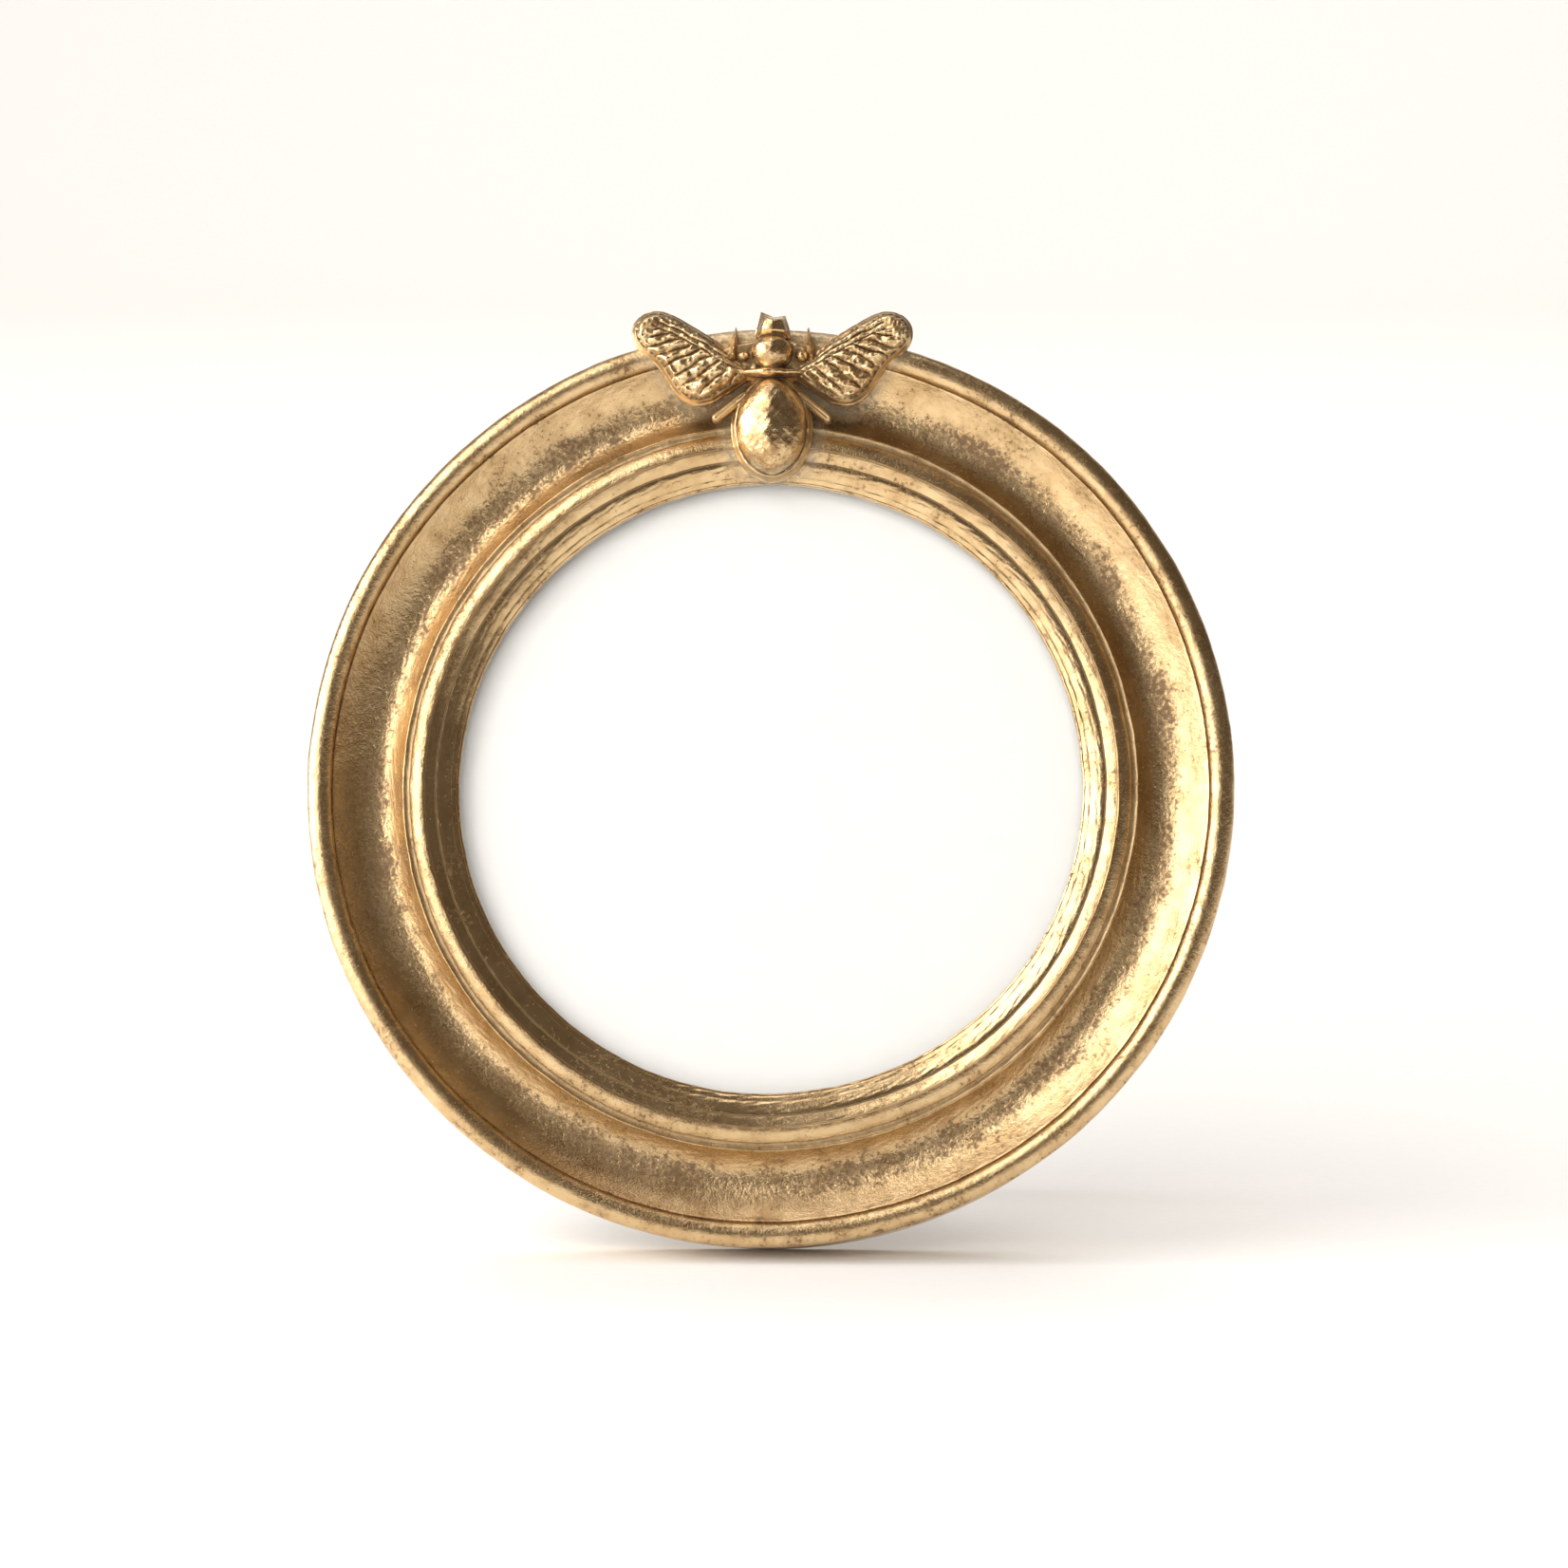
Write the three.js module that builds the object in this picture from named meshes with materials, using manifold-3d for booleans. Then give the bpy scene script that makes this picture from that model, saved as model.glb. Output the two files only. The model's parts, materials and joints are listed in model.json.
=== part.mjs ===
// Small round gilt picture frame with a bee on its rim, standing on an opened easel leg.
// Millimetres, +Z up. Every piece is drawn in the frame's own axes and leaned back at the end: x to the
// right, z up from the ring's centre, y to the rear from the plane of the ring's back. Heights towards
// the viewer are written f = -y.
import * as THREE from "three";
import Module from "manifold-3d";

const wasm = await Module();
wasm.setup();

// Whole object
const GAP = 0.3; // running and seating gap between neighbouring pieces
const LEAN = THREE.MathUtils.degToRad(15); // how far the standing frame tips back
const RING_SEGMENTS = 80;

// Moulding ring
const RING_R = 70; // outermost radius, on the outer bead
const BACK_R = 69.2; // outer radius at the back
const OUTER_BEAD = { r: 68.7, f: 10.9, radius: 1.3 };
const SCOOP = { r: 61.25, f: 11.2, halfWidth: 5.75, depth: 4.2 };
const INNER_BEAD = { r: 53.65, f: 12.4, radius: 0.95 };
const REED_R = 52.4; // outer edge of the stepped reeds
const REED_F = 12.2; // height of the outermost reed
const REED_COUNT = 4;
const SIGHT_R = 47; // radius of the sight opening
const SIGHT_F = 10.6; // height of the sight edge
const REBATE_R = 51.8; // takes a 4 inch (101.6 mm) round picture
const REBATE_F = 7; // height of the ledge the glass rests against

// Contents of the rebate, each as [f of the rear face, f of the front face]
const SHEET_R = 51.2;
const GLASS_F = [4.7, 6.7];
const CARD_R = 50.8;
const CARD_F = [3.9, 4.4];
const BOARD_R = 51.4;
const BOARD_F = [0.9, 3.6];
const COVER_F = [0, 0.6];

// Bee
const PLATE_F = [11.4, 14.2]; // the backing plate that joins wings and body
const BEE_F = PLATE_F[1] + GAP; // seat of the body and the wings
const PLATE_MARGIN = 0.45; // rim of the backing plate showing round the wings
const WING_THICK = 1.4;
const RIB_THICK = 0.7;
const WING = [ // left wing outline, x and z, from the root round the tip and back
  [-4.6, 64.7], [-7.6, 67.3], [-10.9, 70.3], [-14.6, 72.2], [-18.3, 73.4], [-21, 71.9],
  [-20.6, 68.9], [-17.6, 66.2], [-15.1, 62.9], [-13, 60.7], [-9.2, 60.2], [-5.4, 62.2],
];
const VEIN = { from: [-5.4, 64], to: [-18.2, 72.2], width: 0.9 };
const RIB_COUNT = 8;
const RIB_WIDTH = 0.75;
const ABDOMEN = { z: 56.15, halfWidth: 5.6, halfLength: 7.8, height: 4.3 };
const THORAX = { z: 67.8, halfWidth: 3.3, halfLength: 3, height: 3.4 };
const COLLAR = { z: 64.5, halfWidth: 4.2, halfLength: 1.05, height: 2.5 };
const HEAD = { z: [69.6, 73.7], halfBase: 2.5, halfTop: 1.7, height: 2.6 };
const HIND_LEG = { from: [-2.6, 61.9], to: [-8.9, 57.1], radius: 0.75, f: 13 };
const FORE_LEG = { from: [-4.7, 65.6], to: [-5.5, 70.7], radius: [1.1, 0.3], f: 13.4 };
const BEE_PIN = { x: 7.5, z: 62.5, radius: 0.8, f: [3.3, 13.3] };

// Turn buttons and their screws
const BUTTON_PIVOT_R = 59;
const BUTTON = { long: 9, short: 3.4, halfWidth: 2.6, thick: 1 };
const BUTTON_PLACES = { upper_right: 45, upper_left: 135, lower_left: 225, lower_right: 315 };
const SCREW = { shank: 0.8, depth: 4.3, head: 1.9, headThick: 1 };

// Easel leg and its hinge; s runs down the leg from the pin, t outwards from the leg's middle
const PIVOT = { y: 2.4, z: 34 };
const LEG_OPEN = THREE.MathUtils.degToRad(27); // angle from the frame's back when it rests on its stop
const LEG_T = [-1.4, 0.9];
const LEG_TOP_S = 2.6;
const LEG_HALF_TOP = 8.5;
const LEG_HALF_FOOT = 17;
const KNUCKLE_R = 2;
const PIN_R = 0.8;
const HINGE_HALF_WIDTH = 9;
const MIDDLE_HALF_WIDTH = 4;
const LEAF_THICK = 0.8;
const LEAF_LENGTH = 13;
const HEEL_LENGTH = 4.6; // tongue above the pin that meets the fixed leaf and stops the leg
const RIVET = { x: 6, along: 9.3, shank: 0.7, head: 1.5, headThick: 0.8 };

// Hanger, its nails and the bumper pads
const HANGER = { halfWidth: 13, step: 9, z: [58.2, 63.8], thick: 0.7, rise: 1, toothCount: 7, tooth: 1.1 };
const NAIL = { x: 11.1, z: 61.4, shank: 0.6, depth: 5, head: 1.3, headThick: 0.6 };
const PAD = { x: 30.5, z: -52.8, radius: 3, thick: 1.6 };

const FINISH = {
  gilt: { color: 0xb98d4c, metalness: 0.9, roughness: 0.42 },
  polishedGilt: { color: 0xd8b878, metalness: 0.95, roughness: 0.28 },
  brass: { color: 0xb08d4a, metalness: 0.95, roughness: 0.35 },
  steel: { color: 0x9a9a98, metalness: 0.9, roughness: 0.4 },
  glass: { color: 0xe8f0f0, metalness: 0, roughness: 0.05, transparent: true, opacity: 0.35 },
  paper: { color: 0xf6f5f0, metalness: 0, roughness: 0.9 },
  board: { color: 0x8a6a48, metalness: 0, roughness: 0.85 },
  velvet: { color: 0x2a211c, metalness: 0, roughness: 1 },
  rubber: { color: 0x3a3836, metalness: 0, roughness: 0.9 },
};

/** Joins equal corners of a closed surface and returns it as a solid that faces outwards. */
function solid(geometry) {
  const position = geometry.getAttribute("position");
  const index = geometry.index ? Array.from(geometry.index.array) : [...Array(position.count).keys()];
  const seen = new Map();
  const corners = [];
  const joined = Array.from({ length: position.count }, (_, i) => {
    const corner = [position.getX(i), position.getY(i), position.getZ(i)];
    const key = corner.map((value) => Math.round(value * 1e4)).join(",");
    if (!seen.has(key)) {
      seen.set(key, corners.length / 3);
      corners.push(...corner);
    }
    return seen.get(key);
  });
  const triangles = [];
  for (let i = 0; i < index.length; i += 3) {
    const [a, b, c] = [joined[index[i]], joined[index[i + 1]], joined[index[i + 2]]];
    if (a !== b && b !== c && c !== a) triangles.push(a, b, c);
  }
  if (volumeOf(corners, triangles) < 0) triangles.reverse();
  const mesh = new wasm.Mesh({
    numProp: 3,
    vertProperties: new Float32Array(corners),
    triVerts: new Uint32Array(triangles),
  });
  return new wasm.Manifold(mesh);
}

/** Signed volume of a closed surface, positive when its faces look outwards. */
function volumeOf(corners, triangles) {
  const [a, b, c] = [new THREE.Vector3(), new THREE.Vector3(), new THREE.Vector3()];
  let total = 0;
  for (let i = 0; i < triangles.length; i += 3) {
    a.fromArray(corners, triangles[i] * 3);
    b.fromArray(corners, triangles[i + 1] * 3);
    c.fromArray(corners, triangles[i + 2] * 3);
    total += a.dot(b.cross(c));
  }
  return total / 6;
}

/** Turns a solid back into a three.js geometry with flat faces. */
function geometryOf(body) {
  const mesh = body.getMesh();
  const geometry = new THREE.BufferGeometry();
  geometry.setAttribute("position", new THREE.BufferAttribute(mesh.vertProperties, mesh.numProp));
  geometry.setIndex(new THREE.BufferAttribute(mesh.triVerts, 1));
  const flat = geometry.toNonIndexed();
  flat.computeVertexNormals();
  return flat;
}

/** Joins several solids into one. */
function join(bodies) {
  return bodies.reduce((whole, body) => whole.add(body));
}

/** Cuts every later solid out of the first. */
function cut(body, tools) {
  return tools.reduce((rest, tool) => rest.subtract(tool), body);
}

/** Revolves points of [radius, f] about the frame's axis, with one flat side at the bottom. */
function turned(profile, segments = RING_SEGMENTS) {
  const points = profile.map(([r, f]) => new THREE.Vector2(r, f));
  const lathe = new THREE.LatheGeometry(points, segments, Math.PI / segments, Math.PI * 2);
  return solid(lathe.rotateX(Math.PI));
}

/** Round disc or rod along y between two heights f, centred on x and z. */
function disc(radius, [f0, f1], x = 0, z = 0, segments = 20) {
  const geometry = new THREE.CylinderGeometry(radius, radius, f1 - f0, segments);
  return solid(geometry.translate(x, -(f0 + f1) / 2, z));
}

/** Outline of [x, z] points raised between two heights f. */
function raised(outline, [f0, f1], bevel = 0) {
  const shape = new THREE.Shape(outline.map(([x, z]) => new THREE.Vector2(x, z)));
  const geometry = new THREE.ExtrudeGeometry(shape, {
    depth: f1 - f0 - bevel,
    bevelEnabled: bevel > 0,
    bevelSize: bevel,
    bevelThickness: bevel,
    bevelOffset: -bevel,
    bevelSegments: 1,
    curveSegments: 12,
  });
  const body = solid(geometry.rotateX(Math.PI / 2).translate(0, -f0, 0));
  return bevel > 0 ? keepAbove(body, f0) : body;
}

/** Outline of [y, z] points drawn across the frame between two values of x. */
function across(outline, [x0, x1]) {
  const shape = new THREE.Shape(outline.map(([y, z]) => new THREE.Vector2(y, z)));
  const geometry = new THREE.ExtrudeGeometry(shape, { depth: x1 - x0, bevelEnabled: false });
  const axes = [[0, 1, 0], [0, 0, 1], [1, 0, 0]].map((axis) => new THREE.Vector3(...axis));
  const turn = new THREE.Matrix4().makeBasis(...axes);
  return solid(geometry.applyMatrix4(turn).translate(x0, 0, 0));
}

/** Box between two corners. */
function block([x0, x1], [y0, y1], [z0, z1]) {
  const geometry = new THREE.BoxGeometry(x1 - x0, y1 - y0, z1 - z0);
  return solid(geometry.translate((x0 + x1) / 2, (y0 + y1) / 2, (z0 + z1) / 2));
}

/** The part of a solid that stands higher than f. */
function keepAbove(body, f) {
  return body.intersect(block([-100, 100], [-f - 60, -f], [-100, 100]));
}

/** Straight rib of rectangular section between two [x, z] points and two heights f. */
function rib([x0, z0], [x1, z1], width, [f0, f1]) {
  const length = Math.hypot(x1 - x0, z1 - z0);
  const geometry = new THREE.BoxGeometry(length, f1 - f0, width);
  geometry.rotateY(-Math.atan2(z1 - z0, x1 - x0));
  return solid(geometry.translate((x0 + x1) / 2, -(f0 + f1) / 2, (z0 + z1) / 2));
}

/** Rod with rounded ends between two [x, z] points at one height, its radius tapering between them. */
function limb([x0, z0], [x1, z1], [r0, r1], f) {
  const from = new THREE.Vector3(x0, -f, z0);
  const to = new THREE.Vector3(x1, -f, z1);
  const rod = new THREE.CylinderGeometry(r1, r0, from.distanceTo(to), 12);
  const along = new THREE.Vector3().subVectors(to, from).normalize();
  const turn = new THREE.Quaternion().setFromUnitVectors(new THREE.Vector3(0, 1, 0), along);
  const middle = new THREE.Vector3().addVectors(from, to).multiplyScalar(0.5);
  rod.applyQuaternion(turn).translate(middle.x, middle.y, middle.z);
  const ends = [[from, r0], [to, r1]].map(([at, radius]) =>
    solid(new THREE.SphereGeometry(radius, 12, 8).translate(at.x, at.y, at.z)));
  return join([solid(rod), ...ends]);
}

/** Domed oval standing on the bee's seat, at most `height` above it. */
function dome({ z, halfWidth, halfLength, height }, grow = 0) {
  const ball = new THREE.SphereGeometry(1, 24, 16);
  ball.scale(halfWidth + grow, height + grow, halfLength + grow);
  return keepAbove(solid(ball.translate(0, -BEE_F, z)), BEE_F - grow);
}

/** Moves a solid from the left side of the frame to the right side. */
function mirrored(body) {
  return solid(geometryOf(body).scale(-1, 1, 1));
}

/** Points along an arc in a profile, angles in degrees. */
function arc(centreR, centreF, halfR, halfF, start, end, steps) {
  return Array.from({ length: steps + 1 }, (_, i) => {
    const angle = THREE.MathUtils.degToRad(start + ((end - start) * i) / steps);
    return [centreR + halfR * Math.cos(angle), centreF + halfF * Math.sin(angle)];
  });
}

/** Stepped reeds that fall from the inner bead to the sight edge. */
function reeds() {
  const width = (REED_R - SIGHT_R - 0.4) / REED_COUNT;
  const fall = (REED_F - SIGHT_F) / REED_COUNT;
  return Array.from({ length: REED_COUNT }, (_, i) => [
    [REED_R - i * width, REED_F - i * fall],
    [REED_R - (i + 1) * width + 0.15, REED_F - i * fall - 0.12],
  ]).flat();
}

/** Closed section of the moulding as [radius, f], shifted by the given amounts. */
function mouldingProfile(shiftR = 0, shiftF = 0) {
  const bead = OUTER_BEAD;
  const inner = INNER_BEAD;
  const scoopInner = SCOOP.r - SCOOP.halfWidth;
  const points = [
    [BACK_R, 0],
    ...arc(bead.r, bead.f, bead.radius, bead.radius, -30, 190, 7),
    [SCOOP.r + SCOOP.halfWidth + 0.2, bead.f - 0.6],
    ...arc(SCOOP.r, SCOOP.f, SCOOP.halfWidth, SCOOP.depth, 0, -180, 10),
    [scoopInner - 0.1, SCOOP.f + 1],
    [scoopInner - 0.7, SCOOP.f + 1.2],
    [scoopInner - 0.85, SCOOP.f + 0.9],
    ...arc(inner.r, inner.f, inner.radius, inner.radius, 10, 170, 5),
    [REED_R + 0.15, REED_F - 0.4],
    ...reeds(),
    [SIGHT_R, SIGHT_F - 0.35],
    [SIGHT_R, REBATE_F],
    [REBATE_R, REBATE_F],
    [REBATE_R, 0],
    [BACK_R, 0],
  ];
  return points.map(([r, f]) => [r + shiftR, f + shiftF]);
}

/** Outline pushed outwards by a margin, for points that run anticlockwise or clockwise round a shape. */
function grown(outline, margin) {
  const count = outline.length;
  const area = outline.reduce((sum, [x, z], i) => {
    const [nextX, nextZ] = outline[(i + 1) % count];
    return sum + x * nextZ - nextX * z;
  }, 0);
  return outline.map(([x, z], i) => {
    const [previousX, previousZ] = outline[(i + count - 1) % count];
    const [nextX, nextZ] = outline[(i + 1) % count];
    const length = Math.hypot(nextX - previousX, nextZ - previousZ);
    const reach = (Math.sign(area) * margin) / length;
    return [x + (nextZ - previousZ) * reach, z - (nextX - previousX) * reach];
  });
}

/** Smooth closed outline through a few points. */
function smoothed(outline, count = 40) {
  const corners = outline.map(([x, z]) => new THREE.Vector3(x, z, 0));
  const curve = new THREE.CatmullRomCurve3(corners, true, "centripetal");
  return curve.getPoints(count).slice(0, -1).map((point) => [point.x, point.y]);
}

/** Point at radius r and angle in degrees on the frame's face, as [x, z]. */
function polar(r, degrees) {
  const angle = THREE.MathUtils.degToRad(degrees);
  return [r * Math.cos(angle), r * Math.sin(angle)];
}

/** Oval outline as [x, z] points. */
function oval(z, halfWidth, halfLength, count = 32) {
  return Array.from({ length: count }, (_, i) => {
    const angle = (2 * Math.PI * i) / count;
    return [halfWidth * Math.cos(angle), z + halfLength * Math.sin(angle)];
  });
}

/** The ring with its rebate and the blind holes for pins, nails and button screws. */
function mouldingRing() {
  const rearHole = (radius, depth, [x, z]) => disc(radius + GAP, [-1, depth + GAP], x, z, 12);
  const beePins = [-BEE_PIN.x, BEE_PIN.x].map((x) =>
    disc(BEE_PIN.radius + GAP, [BEE_PIN.f[0] - GAP, 20], x, BEE_PIN.z, 12));
  const nails = [-NAIL.x, NAIL.x].map((x) => rearHole(NAIL.shank, NAIL.depth, [x, NAIL.z]));
  const screws = Object.values(BUTTON_PLACES).map((degrees) =>
    rearHole(SCREW.shank, SCREW.depth, polar(BUTTON_PIVOT_R, degrees)));
  return cut(turned(mouldingProfile()), [...beePins, ...nails, ...screws]);
}

/** The moulding's outline swollen by the seating gap, to trim what lies on it. */
function ringClearance() {
  const shifts = [[0, GAP], [GAP, 0.1], [-GAP, 0.1], [GAP, -0.3], [-GAP, -0.3]];
  return shifts.map(([shiftR, shiftF]) => turned(mouldingProfile(shiftR, shiftF)));
}

/** Thin plate behind the bee: wing rims, body rim and the legs cast with it. */
function beeBackplate() {
  const wing = raised(grown(smoothed(WING), PLATE_MARGIN), PLATE_F);
  const body = [
    raised(oval(ABDOMEN.z + 0.35, ABDOMEN.halfWidth + 0.5, ABDOMEN.halfLength + 1.5), PLATE_F),
    raised(oval(66.5, 5.6, 5.4), PLATE_F),
    raised(oval(70.8, 2.9, 3.2), PLATE_F),
  ];
  const { from, to, radius, f } = HIND_LEG;
  const hindLeg = limb(from, to, [radius, radius], f);
  const foreLeg = limb(FORE_LEG.from, FORE_LEG.to, FORE_LEG.radius, FORE_LEG.f);
  const left = join([wing, hindLeg, foreLeg]);
  const pinHoles = [-BEE_PIN.x, BEE_PIN.x].map((x) =>
    disc(BEE_PIN.radius + GAP, [0, BEE_PIN.f[1] + GAP], x, BEE_PIN.z, 12));
  return cut(join([left, mirrored(left), ...body]), [...ringClearance(), ...pinHoles]);
}

/** Head, thorax, collar and abdomen in one casting, optionally swollen to trim the wings. */
function beeBody(grow = 0) {
  const [headLow, headHigh] = HEAD.z;
  const head = [
    [-HEAD.halfBase - grow, headLow], [HEAD.halfBase + grow, headLow],
    [HEAD.halfTop + grow, headHigh + grow], [-HEAD.halfTop - grow, headHigh + grow],
  ];
  const front = raised(head, [BEE_F - grow, BEE_F + HEAD.height + grow], grow > 0 ? 0 : 0.5);
  return join([dome(ABDOMEN, grow), dome(THORAX, grow), dome(COLLAR, grow), front]);
}

/** Left wing with its mid vein and side ribs. */
function leftWing() {
  const outline = smoothed(WING);
  const topF = BEE_F + WING_THICK;
  const ribF = [topF - 0.4, topF + RIB_THICK];
  const along = (share) => VEIN.from.map((start, i) => start + (VEIN.to[i] - start) * share);
  const sideRibs = Array.from({ length: RIB_COUNT }, (_, i) => {
    const share = i / (RIB_COUNT - 1);
    const [x, z] = along(0.12 + 0.83 * share);
    const reach = 7.5 - 2 * share;
    const slope = THREE.MathUtils.degToRad(205 - 25 * share);
    return rib([x, z], [x + reach * Math.cos(slope), z + reach * Math.sin(slope)], RIB_WIDTH, ribF);
  });
  const edgeRibs = [1.3, 2.4].map((offset) => {
    const shift = ([x, z]) => [x + offset * 0.54, z + offset * 0.84];
    return rib(shift(along(0)), shift(along(0.86)), RIB_WIDTH, ribF);
  });
  const vein = rib(along(-0.05), along(1), VEIN.width, ribF);
  const allowed = raised(grown(outline, -0.25), [BEE_F, BEE_F + 5]);
  const ribs = join([vein, ...sideRibs, ...edgeRibs]).intersect(allowed);
  return join([raised(outline, [BEE_F, topF], 0.3), ribs]).subtract(beeBody(GAP));
}

/** Bar that turns over the backing's edge, its long end pointing at the frame's centre. */
function turnButton(degrees) {
  const { long, short, halfWidth, thick } = BUTTON;
  const [x, z] = polar(BUTTON_PIVOT_R, degrees);
  const ends = [[-long + 1.6, 1.6], [short - halfWidth, halfWidth]];
  const outline = ends.flatMap(([along, radius], end) =>
    Array.from({ length: 9 }, (_, i) => {
      const angle = Math.PI * (end === 0 ? 0.5 + i / 8 : -0.5 + i / 8);
      return [along + radius * Math.cos(angle), radius * Math.sin(angle)];
    }));
  const turn = THREE.MathUtils.degToRad(degrees);
  const placed = outline.map(([a, b]) => [
    x + a * Math.cos(turn) - b * Math.sin(turn),
    z + a * Math.sin(turn) + b * Math.cos(turn),
  ]);
  const hole = disc(SCREW.shank + GAP, [-5, 5], x, z, 16);
  return raised(placed, [-GAP - thick, -GAP]).subtract(hole);
}

/** Round-headed screw in the ring's back, with a driver slot. */
function buttonScrew(degrees) {
  const [x, z] = polar(BUTTON_PIVOT_R, degrees);
  const headRear = -2 * GAP - BUTTON.thick;
  const head = disc(SCREW.head, [headRear - SCREW.headThick, headRear], x, z, 20);
  const shank = disc(SCREW.shank, [headRear - 0.3, SCREW.depth], x, z, 16);
  const slot = block([x - 3, x + 3], [-headRear + 0.5, -headRear + 3], [z - 0.25, z + 0.25]);
  return join([head, shank]).subtract(slot);
}

/** Rivet through a hinge leaf: domed head outside, plain shank inside; heights are y or t. */
function rivetAt(x, z, seat, tip) {
  const head = disc(RIVET.head, [-seat - RIVET.headThick, -seat], x, z, 16);
  const shank = disc(RIVET.shank, [-seat - 0.2, -tip], x, z, 12);
  return join([head, shank]);
}

/** Knuckle tube along x about the hinge pin, drawn with the pin at the origin. */
function knuckle(x0, x1, radius = KNUCKLE_R) {
  const geometry = new THREE.CylinderGeometry(radius, radius, x1 - x0, 20);
  return solid(geometry.rotateZ(Math.PI / 2).translate((x0 + x1) / 2, 0, 0));
}

/** Moves a solid drawn with the hinge pin at the origin to its place, opened by an angle. */
function atPivot(body, angle = 0) {
  return solid(geometryOf(body).rotateX(angle).translate(0, PIVOT.y, PIVOT.z));
}

/** Upper leaf, riveted to the backing board, with the two outer knuckles. */
function fixedLeaf() {
  const inner = MIDDLE_HALF_WIDTH + GAP;
  const low = GAP - PIVOT.y;
  const plate = block([-HINGE_HALF_WIDTH, HINGE_HALF_WIDTH], [low, low + LEAF_THICK], [0, LEAF_LENGTH]);
  const notch = block([-inner, inner], [-5, 5], [-3, KNUCKLE_R + 0.5]);
  const spans = [[-HINGE_HALF_WIDTH, -inner], [inner, HINGE_HALF_WIDTH]];
  const knuckles = spans.map(([x0, x1]) => knuckle(x0, x1));
  const bore = knuckle(-20, 20, PIN_R + GAP);
  const holes = [-RIVET.x, RIVET.x].map((x) => disc(RIVET.shank + GAP, [-5, 5], x, RIVET.along, 12));
  return atPivot(cut(join([plate.subtract(notch), ...knuckles]), [bore, ...holes]));
}

/** Lower leaf on the leg, with the middle knuckle and the heel that stops it; opens about the pin. */
function movingLeaf() {
  const half = MIDDLE_HALF_WIDTH;
  const seat = LEG_T[1] + GAP;
  const tongue = block([-half, half], [seat, seat + LEAF_THICK], [-LEG_TOP_S - 1, HEEL_LENGTH]);
  const plate = block([-8, 8], [seat, seat + LEAF_THICK], [-LEAF_LENGTH, -LEG_TOP_S]);
  const holes = [-RIVET.x, RIVET.x].map((x) => disc(RIVET.shank + GAP, [-5, 5], x, -RIVET.along, 12));
  const leaf = join([tongue, plate, knuckle(-half, half)]);
  return atPivot(cut(leaf, [knuckle(-20, 20, PIN_R + GAP), ...holes]), LEG_OPEN);
}

/** Tapered leg whose foot is bevelled to lie flat on the table when it is open. */
function easelLeg() {
  const lean = LEG_OPEN - LEAN;
  const flat = BACK_R * Math.cos(Math.PI / RING_SEGMENTS);
  const pinHeight = (PIVOT.z + flat) * Math.cos(LEAN) - PIVOT.y * Math.sin(LEAN);
  const footS = (t) => (pinHeight + t * Math.sin(lean)) / Math.cos(lean);
  const [inner, outer] = LEG_T;
  const side = [[inner, -LEG_TOP_S], [outer, -LEG_TOP_S], [outer, -footS(outer)], [inner, -footS(inner)]];
  const plan = [
    [-LEG_HALF_TOP, 0], [LEG_HALF_TOP, 0], [LEG_HALF_TOP + 1.5, -40],
    [LEG_HALF_FOOT, -110], [-LEG_HALF_FOOT, -110], [-LEG_HALF_TOP - 1.5, -40],
  ];
  const slab = across(side, [-30, 30]).intersect(raised(plan, [-5, 5]));
  const holes = [-RIVET.x, RIVET.x].map((x) => disc(RIVET.shank + GAP, [-5, 5], x, -RIVET.along, 12));
  return atPivot(cut(slab, holes), LEG_OPEN);
}

/** Sawtooth hanger: two flat nailed ends and a raised middle with teeth along its lower edge. */
function hanger() {
  const { halfWidth, step, z, thick, rise, toothCount, tooth } = HANGER;
  const [low, high] = [GAP, GAP + rise];
  const section = [
    [-halfWidth, low], [-step - 1, low], [-step + 1, high],
    [step - 1, high], [step + 1, low], [halfWidth, low],
    [halfWidth, low + thick], [step + 1, low + thick], [step - 1, high + thick],
    [-step + 1, high + thick], [-step - 1, low + thick], [-halfWidth, low + thick],
  ];
  const shape = new THREE.Shape(section.map(([x, y]) => new THREE.Vector2(x, y)));
  const strip = new THREE.ExtrudeGeometry(shape, { depth: z[1] - z[0], bevelEnabled: false });
  const pitch = (2 * (step - 1.5)) / toothCount;
  const notches = Array.from({ length: toothCount }, (_, i) => {
    const x = -step + 1.5 + (i + 0.5) * pitch;
    const outline = [[x - pitch / 2.4, z[0] - 0.1], [x + pitch / 2.4, z[0] - 0.1], [x, z[0] + tooth]];
    return raised(outline, [-5, 0]);
  });
  const holes = [-NAIL.x, NAIL.x].map((x) => disc(NAIL.shank + GAP, [-5, 5], x, NAIL.z, 12));
  return cut(solid(strip.translate(0, 0, z[0])), [...notches, ...holes]);
}

/** Flat-headed nail through one end of the hanger into the ring. */
function hangerNail(x) {
  const seat = -2 * GAP - HANGER.thick;
  const head = disc(NAIL.head, [seat - NAIL.headThick, seat], x, NAIL.z, 16);
  return head.add(disc(NAIL.shank, [seat - 0.2, NAIL.depth], x, NAIL.z, 12));
}

/** Rivets of the fixed leaf go through the cover into the board; those of the leg turn with it. */
function rivets() {
  const seat = GAP + LEAF_THICK + GAP;
  const legSeat = LEG_T[1] + GAP + LEAF_THICK + GAP;
  return [["left", -RIVET.x], ["right", RIVET.x]].flatMap(([side, x]) => [
    [`rivet_board_${side}`, rivetAt(x, PIVOT.z + RIVET.along, seat, -BOARD_F[1] + GAP), FINISH.brass],
    [`rivet_leg_${side}`, atPivot(rivetAt(x, -RIVET.along, legSeat, LEG_T[0] + GAP), LEG_OPEN), FINISH.brass],
  ]);
}

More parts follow.
